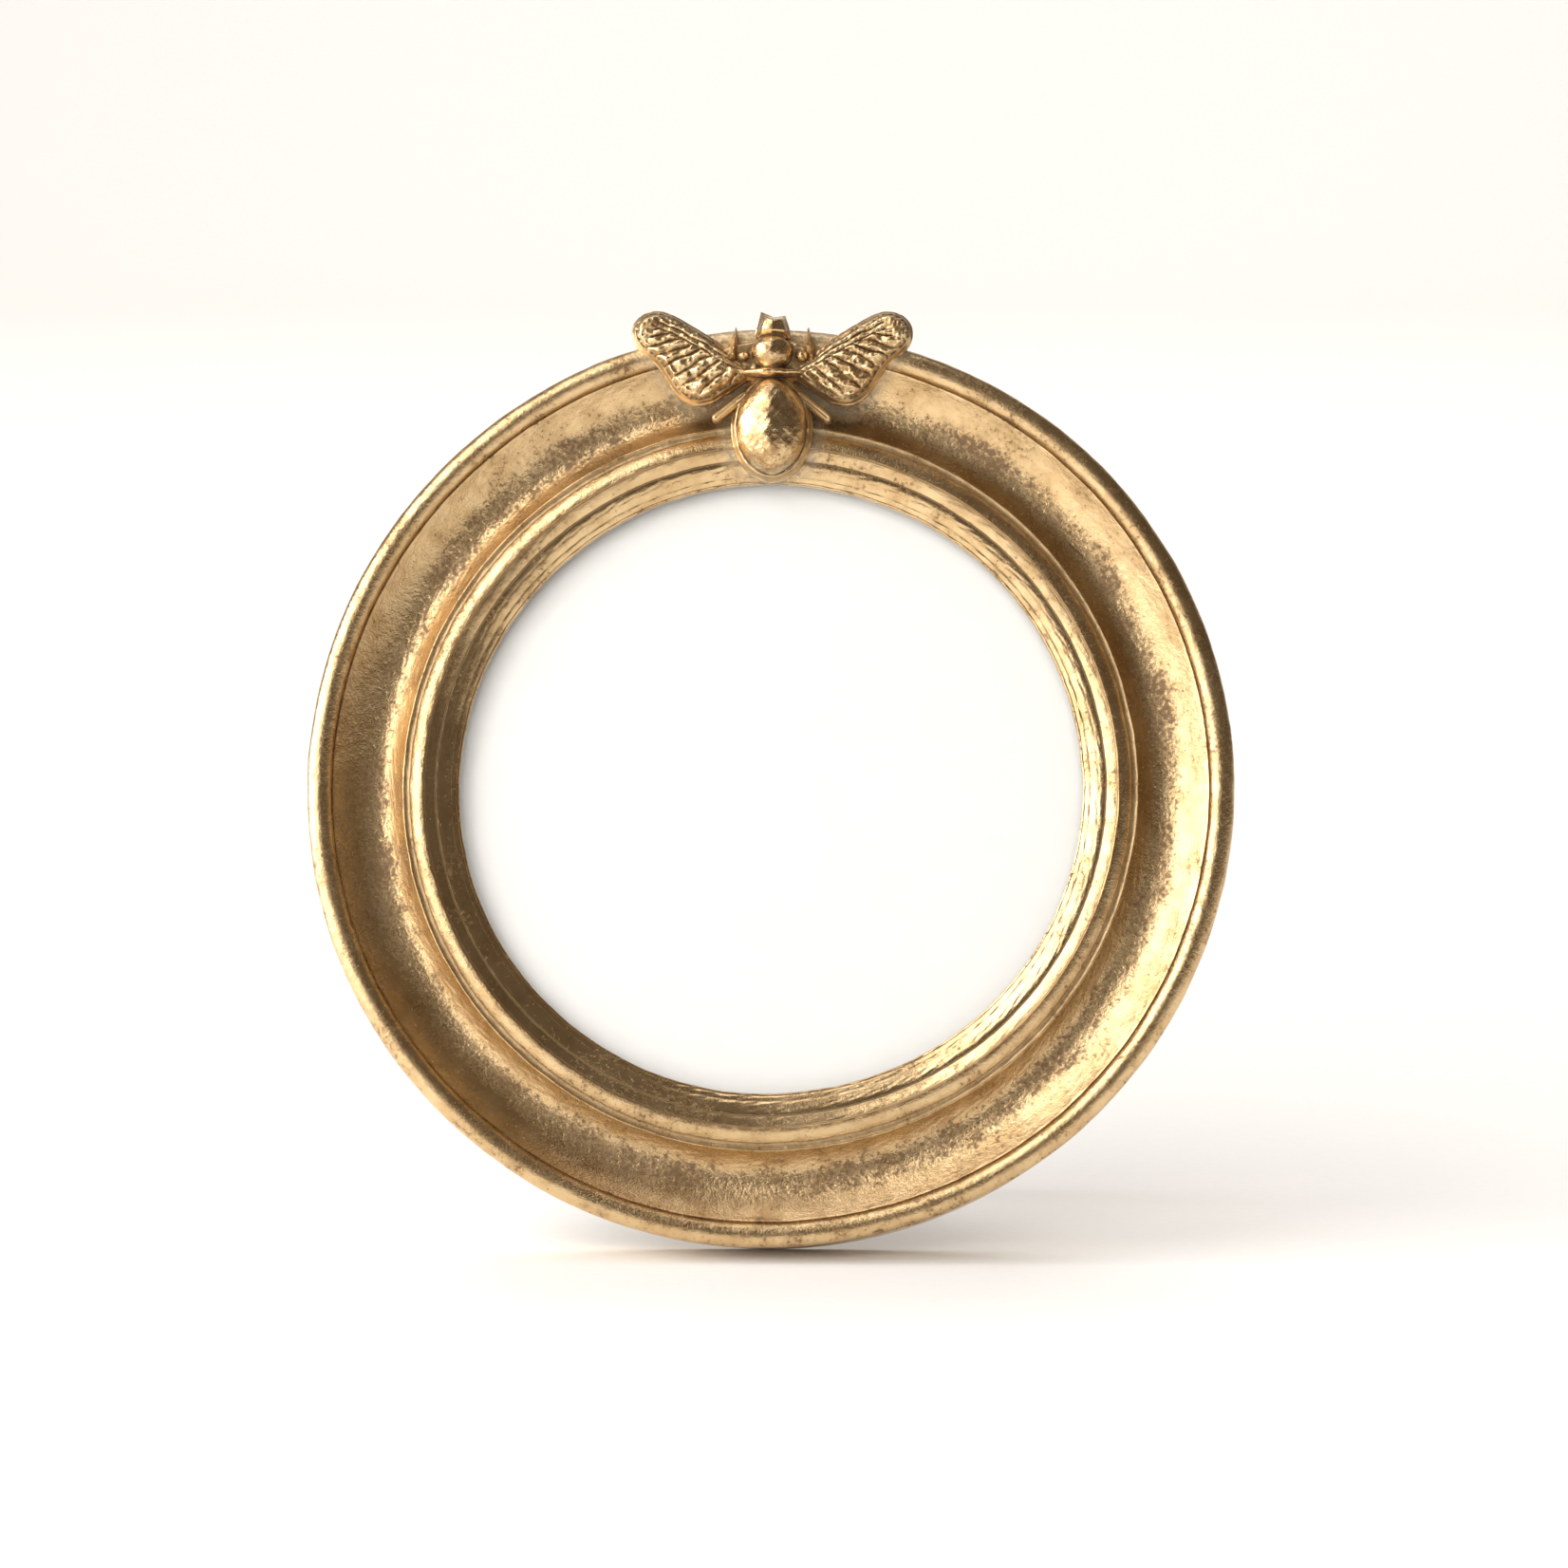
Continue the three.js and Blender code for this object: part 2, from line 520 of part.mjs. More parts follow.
/** Rivet holes through the cover and part way into the board. */
function boardHoles() {
  return [-RIVET.x, RIVET.x].map((x) =>
    disc(RIVET.shank + GAP, [-5, BOARD_F[1] - GAP / 2], x, PIVOT.z + RIVET.along, 12));
}

/** Every piece as [name, solid, finish], in the frame's own axes. */
function pieces() {
  const body = beeBody();
  const wing = leftWing();
  const buttons = Object.entries(BUTTON_PLACES).flatMap(([place, degrees]) => [
    [`turn_button_${place}`, turnButton(degrees), FINISH.brass],
    [`button_screw_${place}`, buttonScrew(degrees), FINISH.steel],
  ]);
  const sides = [["left", -1], ["right", 1]];
  return [
    ["moulding_ring", mouldingRing(), FINISH.gilt],
    ["bee_backplate", beeBackplate(), FINISH.gilt],
    ["bee_body", body, FINISH.polishedGilt],
    ["bee_wing_left", wing, FINISH.polishedGilt],
    ["bee_wing_right", mirrored(wing), FINISH.polishedGilt],
    ...sides.map(([side, sign]) => [
      `bee_pin_${side}`, disc(BEE_PIN.radius, BEE_PIN.f, sign * BEE_PIN.x, BEE_PIN.z, 16), FINISH.steel,
    ]),
    ["glass", disc(SHEET_R, GLASS_F, 0, 0, RING_SEGMENTS), FINISH.glass],
    ["picture_card", disc(CARD_R, CARD_F, 0, 0, RING_SEGMENTS), FINISH.paper],
    ["backing_board", cut(disc(BOARD_R, BOARD_F, 0, 0, RING_SEGMENTS), boardHoles()), FINISH.board],
    ["backing_cover", cut(disc(BOARD_R, COVER_F, 0, 0, RING_SEGMENTS), boardHoles()), FINISH.velvet],
    ...buttons,
    ["hinge_leaf_fixed", fixedLeaf(), FINISH.brass],
    ["hinge_leaf_moving", movingLeaf(), FINISH.brass],
    ["hinge_pin", atPivot(knuckle(-HINGE_HALF_WIDTH - 0.5, HINGE_HALF_WIDTH + 0.5, PIN_R)), FINISH.steel],
    ["easel_leg", easelLeg(), FINISH.velvet],
    ...rivets(),
    ["hanger", hanger(), FINISH.brass],
    ...sides.map(([side, sign]) => [`hanger_nail_${side}`, hangerNail(sign * NAIL.x), FINISH.steel]),
    ...sides.map(([side, sign]) => [
      `bumper_pad_${side}`,
      disc(PAD.radius, [-GAP - PAD.thick, -GAP], sign * PAD.x, PAD.z, 24),
      FINISH.rubber,
    ]),
  ];
}

const frame = new THREE.Group();
frame.name = "round_bee_frame";
for (const [name, body, finish] of pieces()) {
  const mesh = new THREE.Mesh(geometryOf(body), new THREE.MeshStandardMaterial(finish));
  mesh.name = name;
  frame.add(mesh);
}

// Lean the frame back, then set it down on the table with the origin under its middle.
frame.rotation.x = -LEAN;
frame.updateMatrixWorld(true);
const bounds = new THREE.Box3().setFromObject(frame, true);
frame.position.set(0, -(bounds.min.y + bounds.max.y) / 2, -bounds.min.z);
frame.updateMatrixWorld(true);

export default frame;
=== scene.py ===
"""Round gilt picture frame with a bee in relief on its rim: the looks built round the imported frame."""

import json
import logging
import math
from dataclasses import dataclass, field
from enum import Enum

import bpy
import numpy as np
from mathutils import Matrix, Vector


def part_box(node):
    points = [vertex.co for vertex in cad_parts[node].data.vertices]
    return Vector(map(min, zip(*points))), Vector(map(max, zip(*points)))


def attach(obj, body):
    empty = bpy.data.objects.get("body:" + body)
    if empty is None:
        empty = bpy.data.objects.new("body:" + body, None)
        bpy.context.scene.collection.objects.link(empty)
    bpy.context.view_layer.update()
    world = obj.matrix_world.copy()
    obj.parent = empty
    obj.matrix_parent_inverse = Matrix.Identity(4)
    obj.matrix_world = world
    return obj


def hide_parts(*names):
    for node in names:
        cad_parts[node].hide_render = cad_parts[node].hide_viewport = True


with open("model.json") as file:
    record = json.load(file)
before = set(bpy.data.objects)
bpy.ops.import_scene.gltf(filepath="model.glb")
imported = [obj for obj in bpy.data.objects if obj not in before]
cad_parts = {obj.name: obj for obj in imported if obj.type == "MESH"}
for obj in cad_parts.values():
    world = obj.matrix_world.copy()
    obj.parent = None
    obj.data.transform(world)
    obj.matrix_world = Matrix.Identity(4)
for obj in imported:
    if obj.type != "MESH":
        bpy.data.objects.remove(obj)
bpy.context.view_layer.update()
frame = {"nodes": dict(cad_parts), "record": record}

log = logging.getLogger("round_bee_frame")
logging.basicConfig(level=logging.INFO, format="%(name)s: %(message)s")

Colour = tuple[float, float, float]
Pair = tuple[float, float]
Limb = tuple[Pair, Pair, float, float]
Array = np.ndarray
MM = 0.001
LEAN = math.radians(15)
GLASS_MIDDLE_F = 5.7
SEED = 7


def rgb(red: int, green: int, blue: int) -> Colour:
    """Turns an sRGB colour of 0 to 255 into the linear one that shaders use."""

    def linear(value: float) -> float:
        """Undoes the sRGB curve for one channel."""
        value /= 255
        return value / 12.92 if value <= 0.04045 else ((value + 0.055) / 1.055) ** 2.4

    return linear(red), linear(green), linear(blue)


def smooth(low: float, high: float, value: Array) -> Array:
    """Smooth step of an array from 0 at low to 1 at high, whichever of the two is larger."""
    share = np.clip((value - low) / (high - low), 0, 1)
    return share * share * (3 - 2 * share)


# ---------------------------------------------------------------- shader graphs


class Coat(Enum):
    """Which lacquer lies over a metal."""

    NONE = 0.0
    WAX = 0.12


class Value:
    """A socket that carries a number, a colour or a vector, and takes part in Python arithmetic."""

    def __init__(self, graph: "Graph", socket: bpy.types.NodeSocket) -> None:
        """Keeps the graph that owns the socket.

        Args:
            graph: the material's graph.
            socket: the output that this value stands for.
        """
        self.graph = graph
        self.socket = socket

    def _math(self, operation: str, *values: "Value | float") -> "Value":
        """Adds one Math node."""
        inputs = dict(enumerate(values))
        return self.graph.add("ShaderNodeMath", {"operation": operation}, inputs)

    def __add__(self, other: "Value | float") -> "Value":
        """Sum."""
        return self._math("ADD", self, other)

    def __radd__(self, other: float) -> "Value":
        """Sum, with the number first."""
        return self._math("ADD", other, self)

    def __sub__(self, other: "Value | float") -> "Value":
        """Difference."""
        return self._math("SUBTRACT", self, other)

    def __rsub__(self, other: float) -> "Value":
        """Difference, with the number first."""
        return self._math("SUBTRACT", other, self)

    def __mul__(self, other: "Value | float") -> "Value":
        """Product."""
        return self._math("MULTIPLY", self, other)

    def __rmul__(self, other: float) -> "Value":
        """Product, with the number first."""
        return self._math("MULTIPLY", other, self)

    def at_most(self, other: "Value | float") -> "Value":
        """The smaller of two values."""
        return self._math("MINIMUM", self, other)

    def at_least(self, other: "Value | float") -> "Value":
        """The larger of two values."""
        return self._math("MAXIMUM", self, other)

    def step(self, low: float, high: float) -> "Value":
        """Smooth step from 0 at low to 1 at high.

        Args:
            low: the value that gives 0.
            high: the value that gives 1; it may be the smaller one.

        Returns:
            The stepped value, from 0 to 1.
        """
        settings = {"interpolation_type": "SMOOTHSTEP", "clamp": True}
        inputs = {"Value": self, "From Min": low, "From Max": high}
        if low > high:
            inputs = {"Value": self, "From Min": high, "From Max": low, "To Min": 1.0, "To Max": 0.0}
        return self.graph.add("ShaderNodeMapRange", settings, inputs)


class Graph:
    """The node tree of one new material."""

    def __init__(self, name: str) -> None:
        """Starts an empty material.

        Args:
            name: the material's name.
        """
        self.material = bpy.data.materials.new(name)
        self.material.use_nodes = True
        self.tree = self.material.node_tree
        self.tree.nodes.clear()
        self.output = self.tree.nodes.new("ShaderNodeOutputMaterial")

    def add(
        self,
        kind: str,
        settings: dict[str, object] | None = None,
        inputs: dict[str | int, object] | None = None,
        output: str | int = 0,
    ) -> Value:
        """Adds one node.

        Args:
            kind: the node's type.
            settings: its properties, set before its sockets.
            inputs: numbers, colours or values by socket name, identifier or number.
            output: the socket returned, by name, identifier or number.

        Returns:
            The asked output.
        """
        node = self.tree.nodes.new(kind)
        for key, setting in (settings or {}).items():
            setattr(node, key, setting)
        for key, given in (inputs or {}).items():
            self._feed(self._find(node.inputs, key), given)
        return Value(self, self._find(node.outputs, output))

    @staticmethod
    def _find(sockets: bpy.types.bpy_prop_collection, key: str | int) -> bpy.types.NodeSocket:
        """Finds a socket by number, identifier or name."""
        if isinstance(key, int):
            return sockets[key]
        for socket in sockets:
            if socket.identifier == key:
                return socket
        return sockets[key]

    def _feed(self, socket: bpy.types.NodeSocket, given: object) -> None:
        """Links a value to a socket, or writes a number or colour on it."""
        if isinstance(given, Value):
            self.tree.links.new(given.socket, socket)
        elif isinstance(given, tuple) and socket.type == "RGBA" and len(given) == 3:
            socket.default_value = (*given, 1)
        else:
            socket.default_value = given

    def place(self, stretch: Colour = (1.0, 1.0, 1.0)) -> Value:
        """Object coordinates, stretched along the three axes."""
        point = self.add("ShaderNodeTexCoord", output="Object")
        if stretch == (1.0, 1.0, 1.0):
            return point
        return self.add("ShaderNodeVectorMath", {"operation": "MULTIPLY"}, {0: point, 1: stretch})

    def noise(
        self,
        size_mm: float,
        detail: float = 4,
        rough: float = 0.6,
        at: Value | None = None,
    ) -> Value:
        """Cloudy noise.

        Args:
            size_mm: size of its features in millimetres.
            detail: octaves.
            rough: share that each finer octave keeps.
            at: where it is read; the object's own coordinates unless given.

        Returns:
            The noise, about 0.5 on average.
        """
        inputs = {
            "Vector": at or self.place(),
            "Scale": 1 / (size_mm * MM),
            "Detail": detail,
            "Roughness": rough,
        }
        return self.add("ShaderNodeTexNoise", {"noise_dimensions": "3D"}, inputs, "Fac")

    def cells(self, size_mm: float) -> Value:
        """Distance to the nearest of scattered points, 0 at each point."""
        inputs = {"Vector": self.place(), "Scale": 1 / (size_mm * MM)}
        return self.add("ShaderNodeTexVoronoi", {"feature": "F1"}, inputs, "Distance")

    def attribute(self, name: str) -> Value:
        """A number stored at the mesh's points."""
        return self.add("ShaderNodeAttribute", {"attribute_name": name}, output="Fac")

    def blend(self, share: Value | float, first: Value | Colour, second: Value | Colour) -> Value:
        """Mixes two colours."""
        inputs = {"Factor_Float": share, "A_Color": first, "B_Color": second}
        return self.add("ShaderNodeMix", {"data_type": "RGBA"}, inputs, "Result_Color")

    def bump(self, height: Value, depth_mm: float) -> Value:
        """Normal of a height that runs from 0 to 1 over a depth in millimetres."""
        inputs = {"Height": height, "Distance": depth_mm * MM, "Strength": 1.0}
        return self.add("ShaderNodeBump", None, inputs, "Normal")

    def principled(self, **sockets: object) -> bpy.types.Material:
        """Closes the material with one Principled shader; underscores in names stand for spaces."""
        inputs = {key.replace("_", " "): given for key, given in sockets.items()}
        shader = self.add("ShaderNodeBsdfPrincipled", None, inputs)
        return self.close(shader)

    def close(self, shader: Value) -> bpy.types.Material:
        """Links a shader to the output and returns the material."""
        self.tree.links.new(shader.socket, self.output.inputs["Surface"])
        return self.material


# ---------------------------------------------------------------- finishes


@dataclass(frozen=True)
class AgedGilt:
    """Water gilding over red bole: leaf rubbed through on the ridges, grimed and darkened with painted
    shade in the grooves.
    """

    name: str
    leaf: Colour = rgb(224, 194, 148)
    leaf_deep: Colour = rgb(200, 167, 120)
    bole: Colour = rgb(98, 74, 50)
    # Dark brown for grime in the grooves, also used as painted shade there.
    grime_and_shade: Colour = rgb(98, 72, 42)
    haze: Colour = rgb(158, 134, 102)
    patina_and_shade: Colour = rgb(140, 128, 108)
    roughness: float = 0.2
    grain: float = 1.0
    wear: float = 1.0

    def material(self) -> bpy.types.Material:
        """Builds the material from the mesh's recess, ridge, floor, near and slope masks.

        Returns:
            The finished material.
        """
        g = Graph(self.name)
        fine = g.noise(0.3, 4, 0.7)
        crumb = g.noise(0.75, 4, 0.68)
        cloud = g.noise(4.5, 4, 0.6)
        drift = g.noise(14, 3, 0.55)
        pits = g.cells(1.0).step(0.3, 0.12)
        recess = g.attribute("recess")
        ridge = g.attribute("ridge")
        floor = g.attribute("floor")
        near = g.attribute("near")
        aged = (drift * 0.6 + cloud * 0.4).step(0.46, 0.6)
        crumbly = (ridge * 0.22 + floor * 0.6 + aged * 0.3).at_most(1.0)
        rubbed = (crumb * 0.75 + cloud * 0.35 + crumbly * 0.18).step(0.64, 0.77) * (0.75 * self.wear)
        torn = (fine * 0.7 + crumb * 0.45 + crumbly * 0.16).step(0.69, 0.81) * (0.85 * self.wear)
        hazed = aged * (0.15 + floor * 0.5) * crumb.step(0.3, 0.55)
        # Grime and painted shade in the recesses, plus dirt in scattered pits.
        dirt_and_shade = (recess * 1.1 + crumb * 0.5 - 0.42).step(0.12, 0.8)
        dirt_and_shade = dirt_and_shade.at_least(pits * crumb.step(0.5, 0.62) * (0.35 + floor * 0.5)).at_most(1.0)
        colour = g.blend(cloud.step(0.35, 0.7), self.leaf, self.leaf_deep)
        colour = g.blend(hazed, colour, self.haze)
        colour = g.blend(rubbed, colour, self.bole)
        colour = g.blend(torn * 0.6, colour, self.bole)
        colour = g.blend(dirt_and_shade * 0.85, colour, self.grime_and_shade)
        # Grey patina and painted shade on the ring under and round the bee.
        colour = g.blend(near * crumb.step(0.35, 0.6) * 0.75, colour, self.patina_and_shade)
        bare = rubbed * 0.3 + torn * 0.15 + dirt_and_shade * 0.3 + near * 0.4 + hazed * 0.25
        metal = (0.99 - bare).at_least(0.05)
        rough = self.roughness + fine.step(0.35, 0.7) * 0.06
        rough = rough + rubbed * 0.16 + dirt_and_shade * 0.22 + hazed * 0.12
        calm = 1.0 - g.attribute("slope") * 0.65
        height = calm * fine * (0.36 * self.grain) + calm * crumb * (0.6 * self.grain)
        height = height + floor * crumb * 0.4 + floor * cloud * 0.4
        height = height - pits * 0.2 * floor + cloud * 0.4 - torn * 0.15
        return g.principled(
            Base_Color=colour,
            Metallic=metal,
            Roughness=rough.at_most(0.92),
            Normal=g.bump(height, 0.15),
        )


@dataclass(frozen=True)
class BurnishedGilt:
    """Polished leaf on the bee, toned and darkened with painted shade in the creases."""

    name: str
    leaf: Colour = rgb(232, 204, 158)
    deep: Colour = rgb(180, 146, 102)
    # Dark toning in the creases, also used as painted shade there.
    crease_toning_and_shade: Colour = rgb(62, 46, 30)
    roughness: float = 0.2

    def material(self) -> bpy.types.Material:
        """Builds the material from the mesh's recess and ridge masks."""
        g = Graph(self.name)
        fine = g.noise(0.35, 4, 0.65)
        cloud = g.noise(2.2, 4, 0.6)
        recess = g.attribute("recess")
        ridge = g.attribute("ridge")
        # Toning and painted shade in the creases, from the recess mask.
        dirt_and_shade = (recess * 1.5 + fine * 0.5 - 0.32).step(0.1, 0.8)
        tone = (cloud * 0.8 + fine * 0.45 - ridge * 0.3).step(0.44, 0.74)
        colour = g.blend(tone, self.leaf, self.deep)
        colour = g.blend(dirt_and_shade * 0.9, colour, self.crease_toning_and_shade)
        rough = self.roughness + tone * 0.14 + dirt_and_shade * 0.35 + fine.step(0.4, 0.7) * 0.06
        return g.principled(
            Base_Color=colour,
            Metallic=0.97 - dirt_and_shade * 0.55,
            Roughness=rough,
            Normal=g.bump(fine * 0.55 + cloud * 1.2, 0.12),
        )


@dataclass(frozen=True)
class WornMetal:
    """Plain metal of a fitting: brushed lines, tarnish clouds and fine scratches."""

    name: str
    bright: Colour
    tarnish: Colour
    roughness: float = 0.32
    coat: Coat = Coat.NONE

    def material(self) -> bpy.types.Material:
        """Builds the metal."""
        g = Graph(self.name)
        lines = g.noise(0.5, 4, 0.7, g.place((1.0, 6.0, 6.0)))
        cloud = g.noise(2.5, 5, 0.62)
        spots = g.cells(1.3).step(0.22, 0.08)
        stain = (cloud * 0.8 + spots * 0.3).step(0.4, 0.72)
        return g.principled(
            Base_Color=g.blend(stain * 0.8, self.bright, self.tarnish),
            Metallic=0.98 - stain * 0.25,
            Roughness=self.roughness + lines * 0.14 + stain * 0.18,
            Coat_Weight=self.coat.value,
            Normal=g.bump(lines * 0.6 + cloud * 0.5, 0.03),
        )


@dataclass(frozen=True)
class PileFabric:
    """Short velveteen pile, brushed in cloudy directions."""

    name: str
    pile: Colour = rgb(44, 34, 28)
    tip: Colour = rgb(92, 74, 60)

    def material(self) -> bpy.types.Material:
        """Builds the fabric."""
        g = Graph(self.name)
        hair = g.noise(0.16, 4, 0.75)
        nap = g.noise(6, 4, 0.6)
        lint = g.cells(3.2).step(0.1, 0.03)
        shade = (nap * 0.8 + hair * 0.4).step(0.4, 0.85)
        colour = g.blend(shade, self.pile, self.tip)
        return g.principled(
            Base_Color=g.blend(lint * 0.35, colour, rgb(150, 138, 122)),
            Roughness=0.85 + hair * 0.12,
            Sheen_Weight=0.55,
            Sheen_Roughness=0.4,
            Sheen_Tint=(*rgb(170, 150, 130), 1),
            Normal=g.bump(hair + nap * 0.8, 0.12),
        )


@dataclass(frozen=True)
class MattBoard:
    """Paper, hardboard or rubber: fibres or grit over a plain colour."""

    name: str
    base: Colour
    fleck: Colour
    fibre_mm: float = 0.4
    roughness: float = 0.8
    depth_mm: float = 0.02

    def material(self) -> bpy.types.Material:
        """Builds the material."""
        g = Graph(self.name)
        fibre = g.noise(self.fibre_mm, 5, 0.65, g.place((1.0, 1.0, 2.4)))
        cloud = g.noise(self.fibre_mm * 14, 3, 0.5)
        fleck = (fibre * 0.75 + cloud * 0.3).step(0.45, 0.75)
        return g.principled(
            Base_Color=g.blend(fleck, self.base, self.fleck),
            Roughness=self.roughness + fibre * 0.12,
            Normal=g.bump(fibre, self.depth_mm),
        )


@dataclass(frozen=True)
class ClearGlass:
    """Thin picture glass: clear, with a faint reflection and the odd speck of dust."""

    name: str

    def material(self) -> bpy.types.Material:
        """Builds the glass as clear film under a mirror that strengthens at a slant."""
        g = Graph(self.name)
        dust = g.cells(2.6).step(0.05, 0.02)
        fresnel = g.add("ShaderNodeFresnel", None, {"IOR": 1.45})
        clear = g.add("ShaderNodeBsdfTransparent", None, {"Color": rgb(253, 253, 253)})
        polish = {"Metallic": 1.0, "Roughness": 0.03 + dust * 0.3}
        mirror = g.add("ShaderNodeBsdfPrincipled", None, polish)
        share = fresnel * 0.8 + dust * 0.03
        return g.close(g.add("ShaderNodeMixShader", None, {0: share, 1: clear, 2: mirror}))


@dataclass(frozen=True)
class StudioPaper:
    """Seamless pale paper under and behind the frame."""

    name: str
    base: Colour = rgb(230, 229, 227)

    def material(self) -> bpy.types.Material:
        """Builds the paper."""
        g = Graph(self.name)
        grain = g.noise(1.5, 4, 0.6)
        tint = g.blend(grain.step(0.3, 0.7) * 0.5, self.base, rgb(227, 225, 222))
        return g.principled(Base_Color=tint, Roughness=0.9, Normal=g.bump(grain, 0.02))


# ---------------------------------------------------------------- placing and mesh making


@dataclass(frozen=True)
class LeaningAxes:
    """The frame's own axes: x right, z up from the ring's centre, f to the front from its back."""

    centre: Vector
    lean: float = LEAN

    @classmethod
    def from_glass(cls) -> "LeaningAxes":
        """Finds the ring's centre from the glass disc, whose middle lies on the ring's axis."""
        low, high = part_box("glass")
        middle = (Vector(low) + Vector(high)) / 2
        lift = GLASS_MIDDLE_F * MM
        offset = Vector((0, lift * math.cos(LEAN), -lift * math.sin(LEAN)))
        return cls(middle + offset)

    def points(self, x: Array, f: Array, z: Array) -> Array:
        """Turns coordinates in the frame's axes, in millimetres, into row positions in metres."""
        x, f, z = (np.ravel(value) for value in np.broadcast_arrays(x, f, z))
        cos, sin = math.cos(self.lean), math.sin(self.lean)
        across = x * MM + self.centre.x
        rear = (-f * cos + z * sin) * MM + self.centre.y
        up = (f * sin + z * cos) * MM + self.centre.z
        return np.column_stack([across, rear, up])

    def point(self, x: float, f: float, z: float) -> Vector:
        """One such position."""
        return Vector(self.points(np.array([x]), np.array([f]), np.array([z]))[0])


@dataclass
class Piece:
    """A mesh to be, with the numbers that its material reads at its points."""

    name: str
    points: Array
    faces: list[tuple[int, ...]]
    masks: dict[str, Array] = field(default_factory=dict)
    crease_degrees: float = 55

    def build(self, body: str, slot: str, replaces: list[str], finish: bpy.types.Material) -> None:
        """Makes the object, dresses it and ties it to the frame.

        Args:
            body: the CAD body it moves with.
            slot: the record's material slot it stands for; not used.
            replaces: the CAD nodes it is shown in place of.
            finish: its material.
        """
        mesh = bpy.data.meshes.new(self.name)
        mesh.from_pydata(self.points.tolist(), [], self.faces)
        mesh.validate()
        mesh.update()
        mesh.shade_smooth()
        mesh.set_sharp_from_angle(angle=math.radians(self.crease_degrees))
        for key, mask in self.masks.items():
            layer = mesh.attributes.new(key, "FLOAT", "POINT")
            layer.data.foreach_set("value", np.ascontiguousarray(mask, dtype=np.float32))
        mesh.materials.append(finish)
        piece = bpy.data.objects.new(self.name, mesh)
        bpy.context.scene.collection.objects.link(piece)
        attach(piece, body)
        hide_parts(*replaces)
        log.info("%s: %d points in place of %s", self.name, len(self.points), ", ".join(replaces))


def dress(nodes: list[str], finish: bpy.types.Material) -> None:
    """Gives carried-over CAD nodes one finish."""
    for node in nodes:
        part = frame["nodes"][node]
        part.data.materials.clear()
        part.data.materials.append(finish)
        log.info("%s keeps its CAD shape, finished as %s", node, finish.name)


def arc(centre: Pair, half: Pair, start: float, end: float, steps: int) -> Array:
    """Points along an arc in a section, angles in degrees."""
    angle = np.radians(np.linspace(start, end, steps + 1))
    return np.column_stack([centre[0] + half[0] * np.cos(angle), centre[1] + half[1] * np.sin(angle)])


def resampled(points: Array, step: float) -> Array:
    """The same line with a point about every `step` millimetres, corners kept."""
    rows = [points[:1]]
    for start, end in zip(points[:-1], points[1:]):
        count = max(1, round(float(np.linalg.norm(end - start)) / step))
        share = np.linspace(0, 1, count + 1)[1:, None]
        rows.append(start + (end - start) * share)
    return np.vstack(rows)


def closed_curve(corners: list[Pair], steps: int = 8) -> Array:
    """Smooth closed outline through its corners."""
    knots = np.array(corners, dtype=float)
    before, after, beyond = np.roll(knots, 1, 0), np.roll(knots, -1, 0), np.roll(knots, -2, 0)
    rows = []
    for i in range(len(knots)):
        for t in np.arange(steps) / steps:
            a = 2 * knots[i]
            b = (after[i] - before[i]) * t
            c = (2 * before[i] - 5 * knots[i] + 4 * after[i] - beyond[i]) * t * t
            d = (3 * knots[i] - before[i] - 3 * after[i] + beyond[i]) * t**3
            rows.append((a + b + c + d) / 2)
    return np.array(rows)


def inside_distance(outline: Array, x: Array, z: Array) -> Array:
    """Distance to an outline, positive inside it."""
    nearest = np.full(x.shape, np.inf)
    inside = np.zeros(x.shape, dtype=bool)
    for (x0, z0), (x1, z1) in zip(outline, np.roll(outline, -1, 0)):
        dx, dz = x1 - x0, z1 - z0
        share = np.clip(((x - x0) * dx + (z - z0) * dz) / max(dx * dx + dz * dz, 1e-12), 0, 1)
        nearest = np.minimum(nearest, np.hypot(x - x0 - share * dx, z - z0 - share * dz))
        crosses = (z0 > z) != (z1 > z)
        if dz:
            inside ^= crosses & (x < x0 + dx * (z - z0) / dz)
    return np.where(inside, nearest, -nearest)


def blurred(values: Array, rounds: int) -> Array:
    """Softens a grid of values by repeated averaging with the neighbours."""
    for _ in range(rounds):
        padded = np.pad(values, 1, mode="edge")
        beside = padded[:-2, 1:-1] + padded[2:, 1:-1]
        values = (beside + padded[1:-1, :-2] + padded[1:-1, 2:] + values) / 5
    return values


def value_noise(x: Array, z: Array, size: float, seed: int) -> Array:
    """Smooth seeded noise from -1 to 1 with features of a given size."""
    generator = np.random.default_rng(SEED + seed)
    waves = generator.uniform(0, 2 * math.pi, (9, 2))
    total = np.zeros(np.broadcast(x, z).shape)
    for turn, phase in waves:
        pull = 2 * math.pi / (size * (0.8 + 0.5 * math.sin(phase) ** 2))
        total += np.sin((x * math.cos(turn) + z * math.sin(turn)) * pull + phase)
    return total / 5


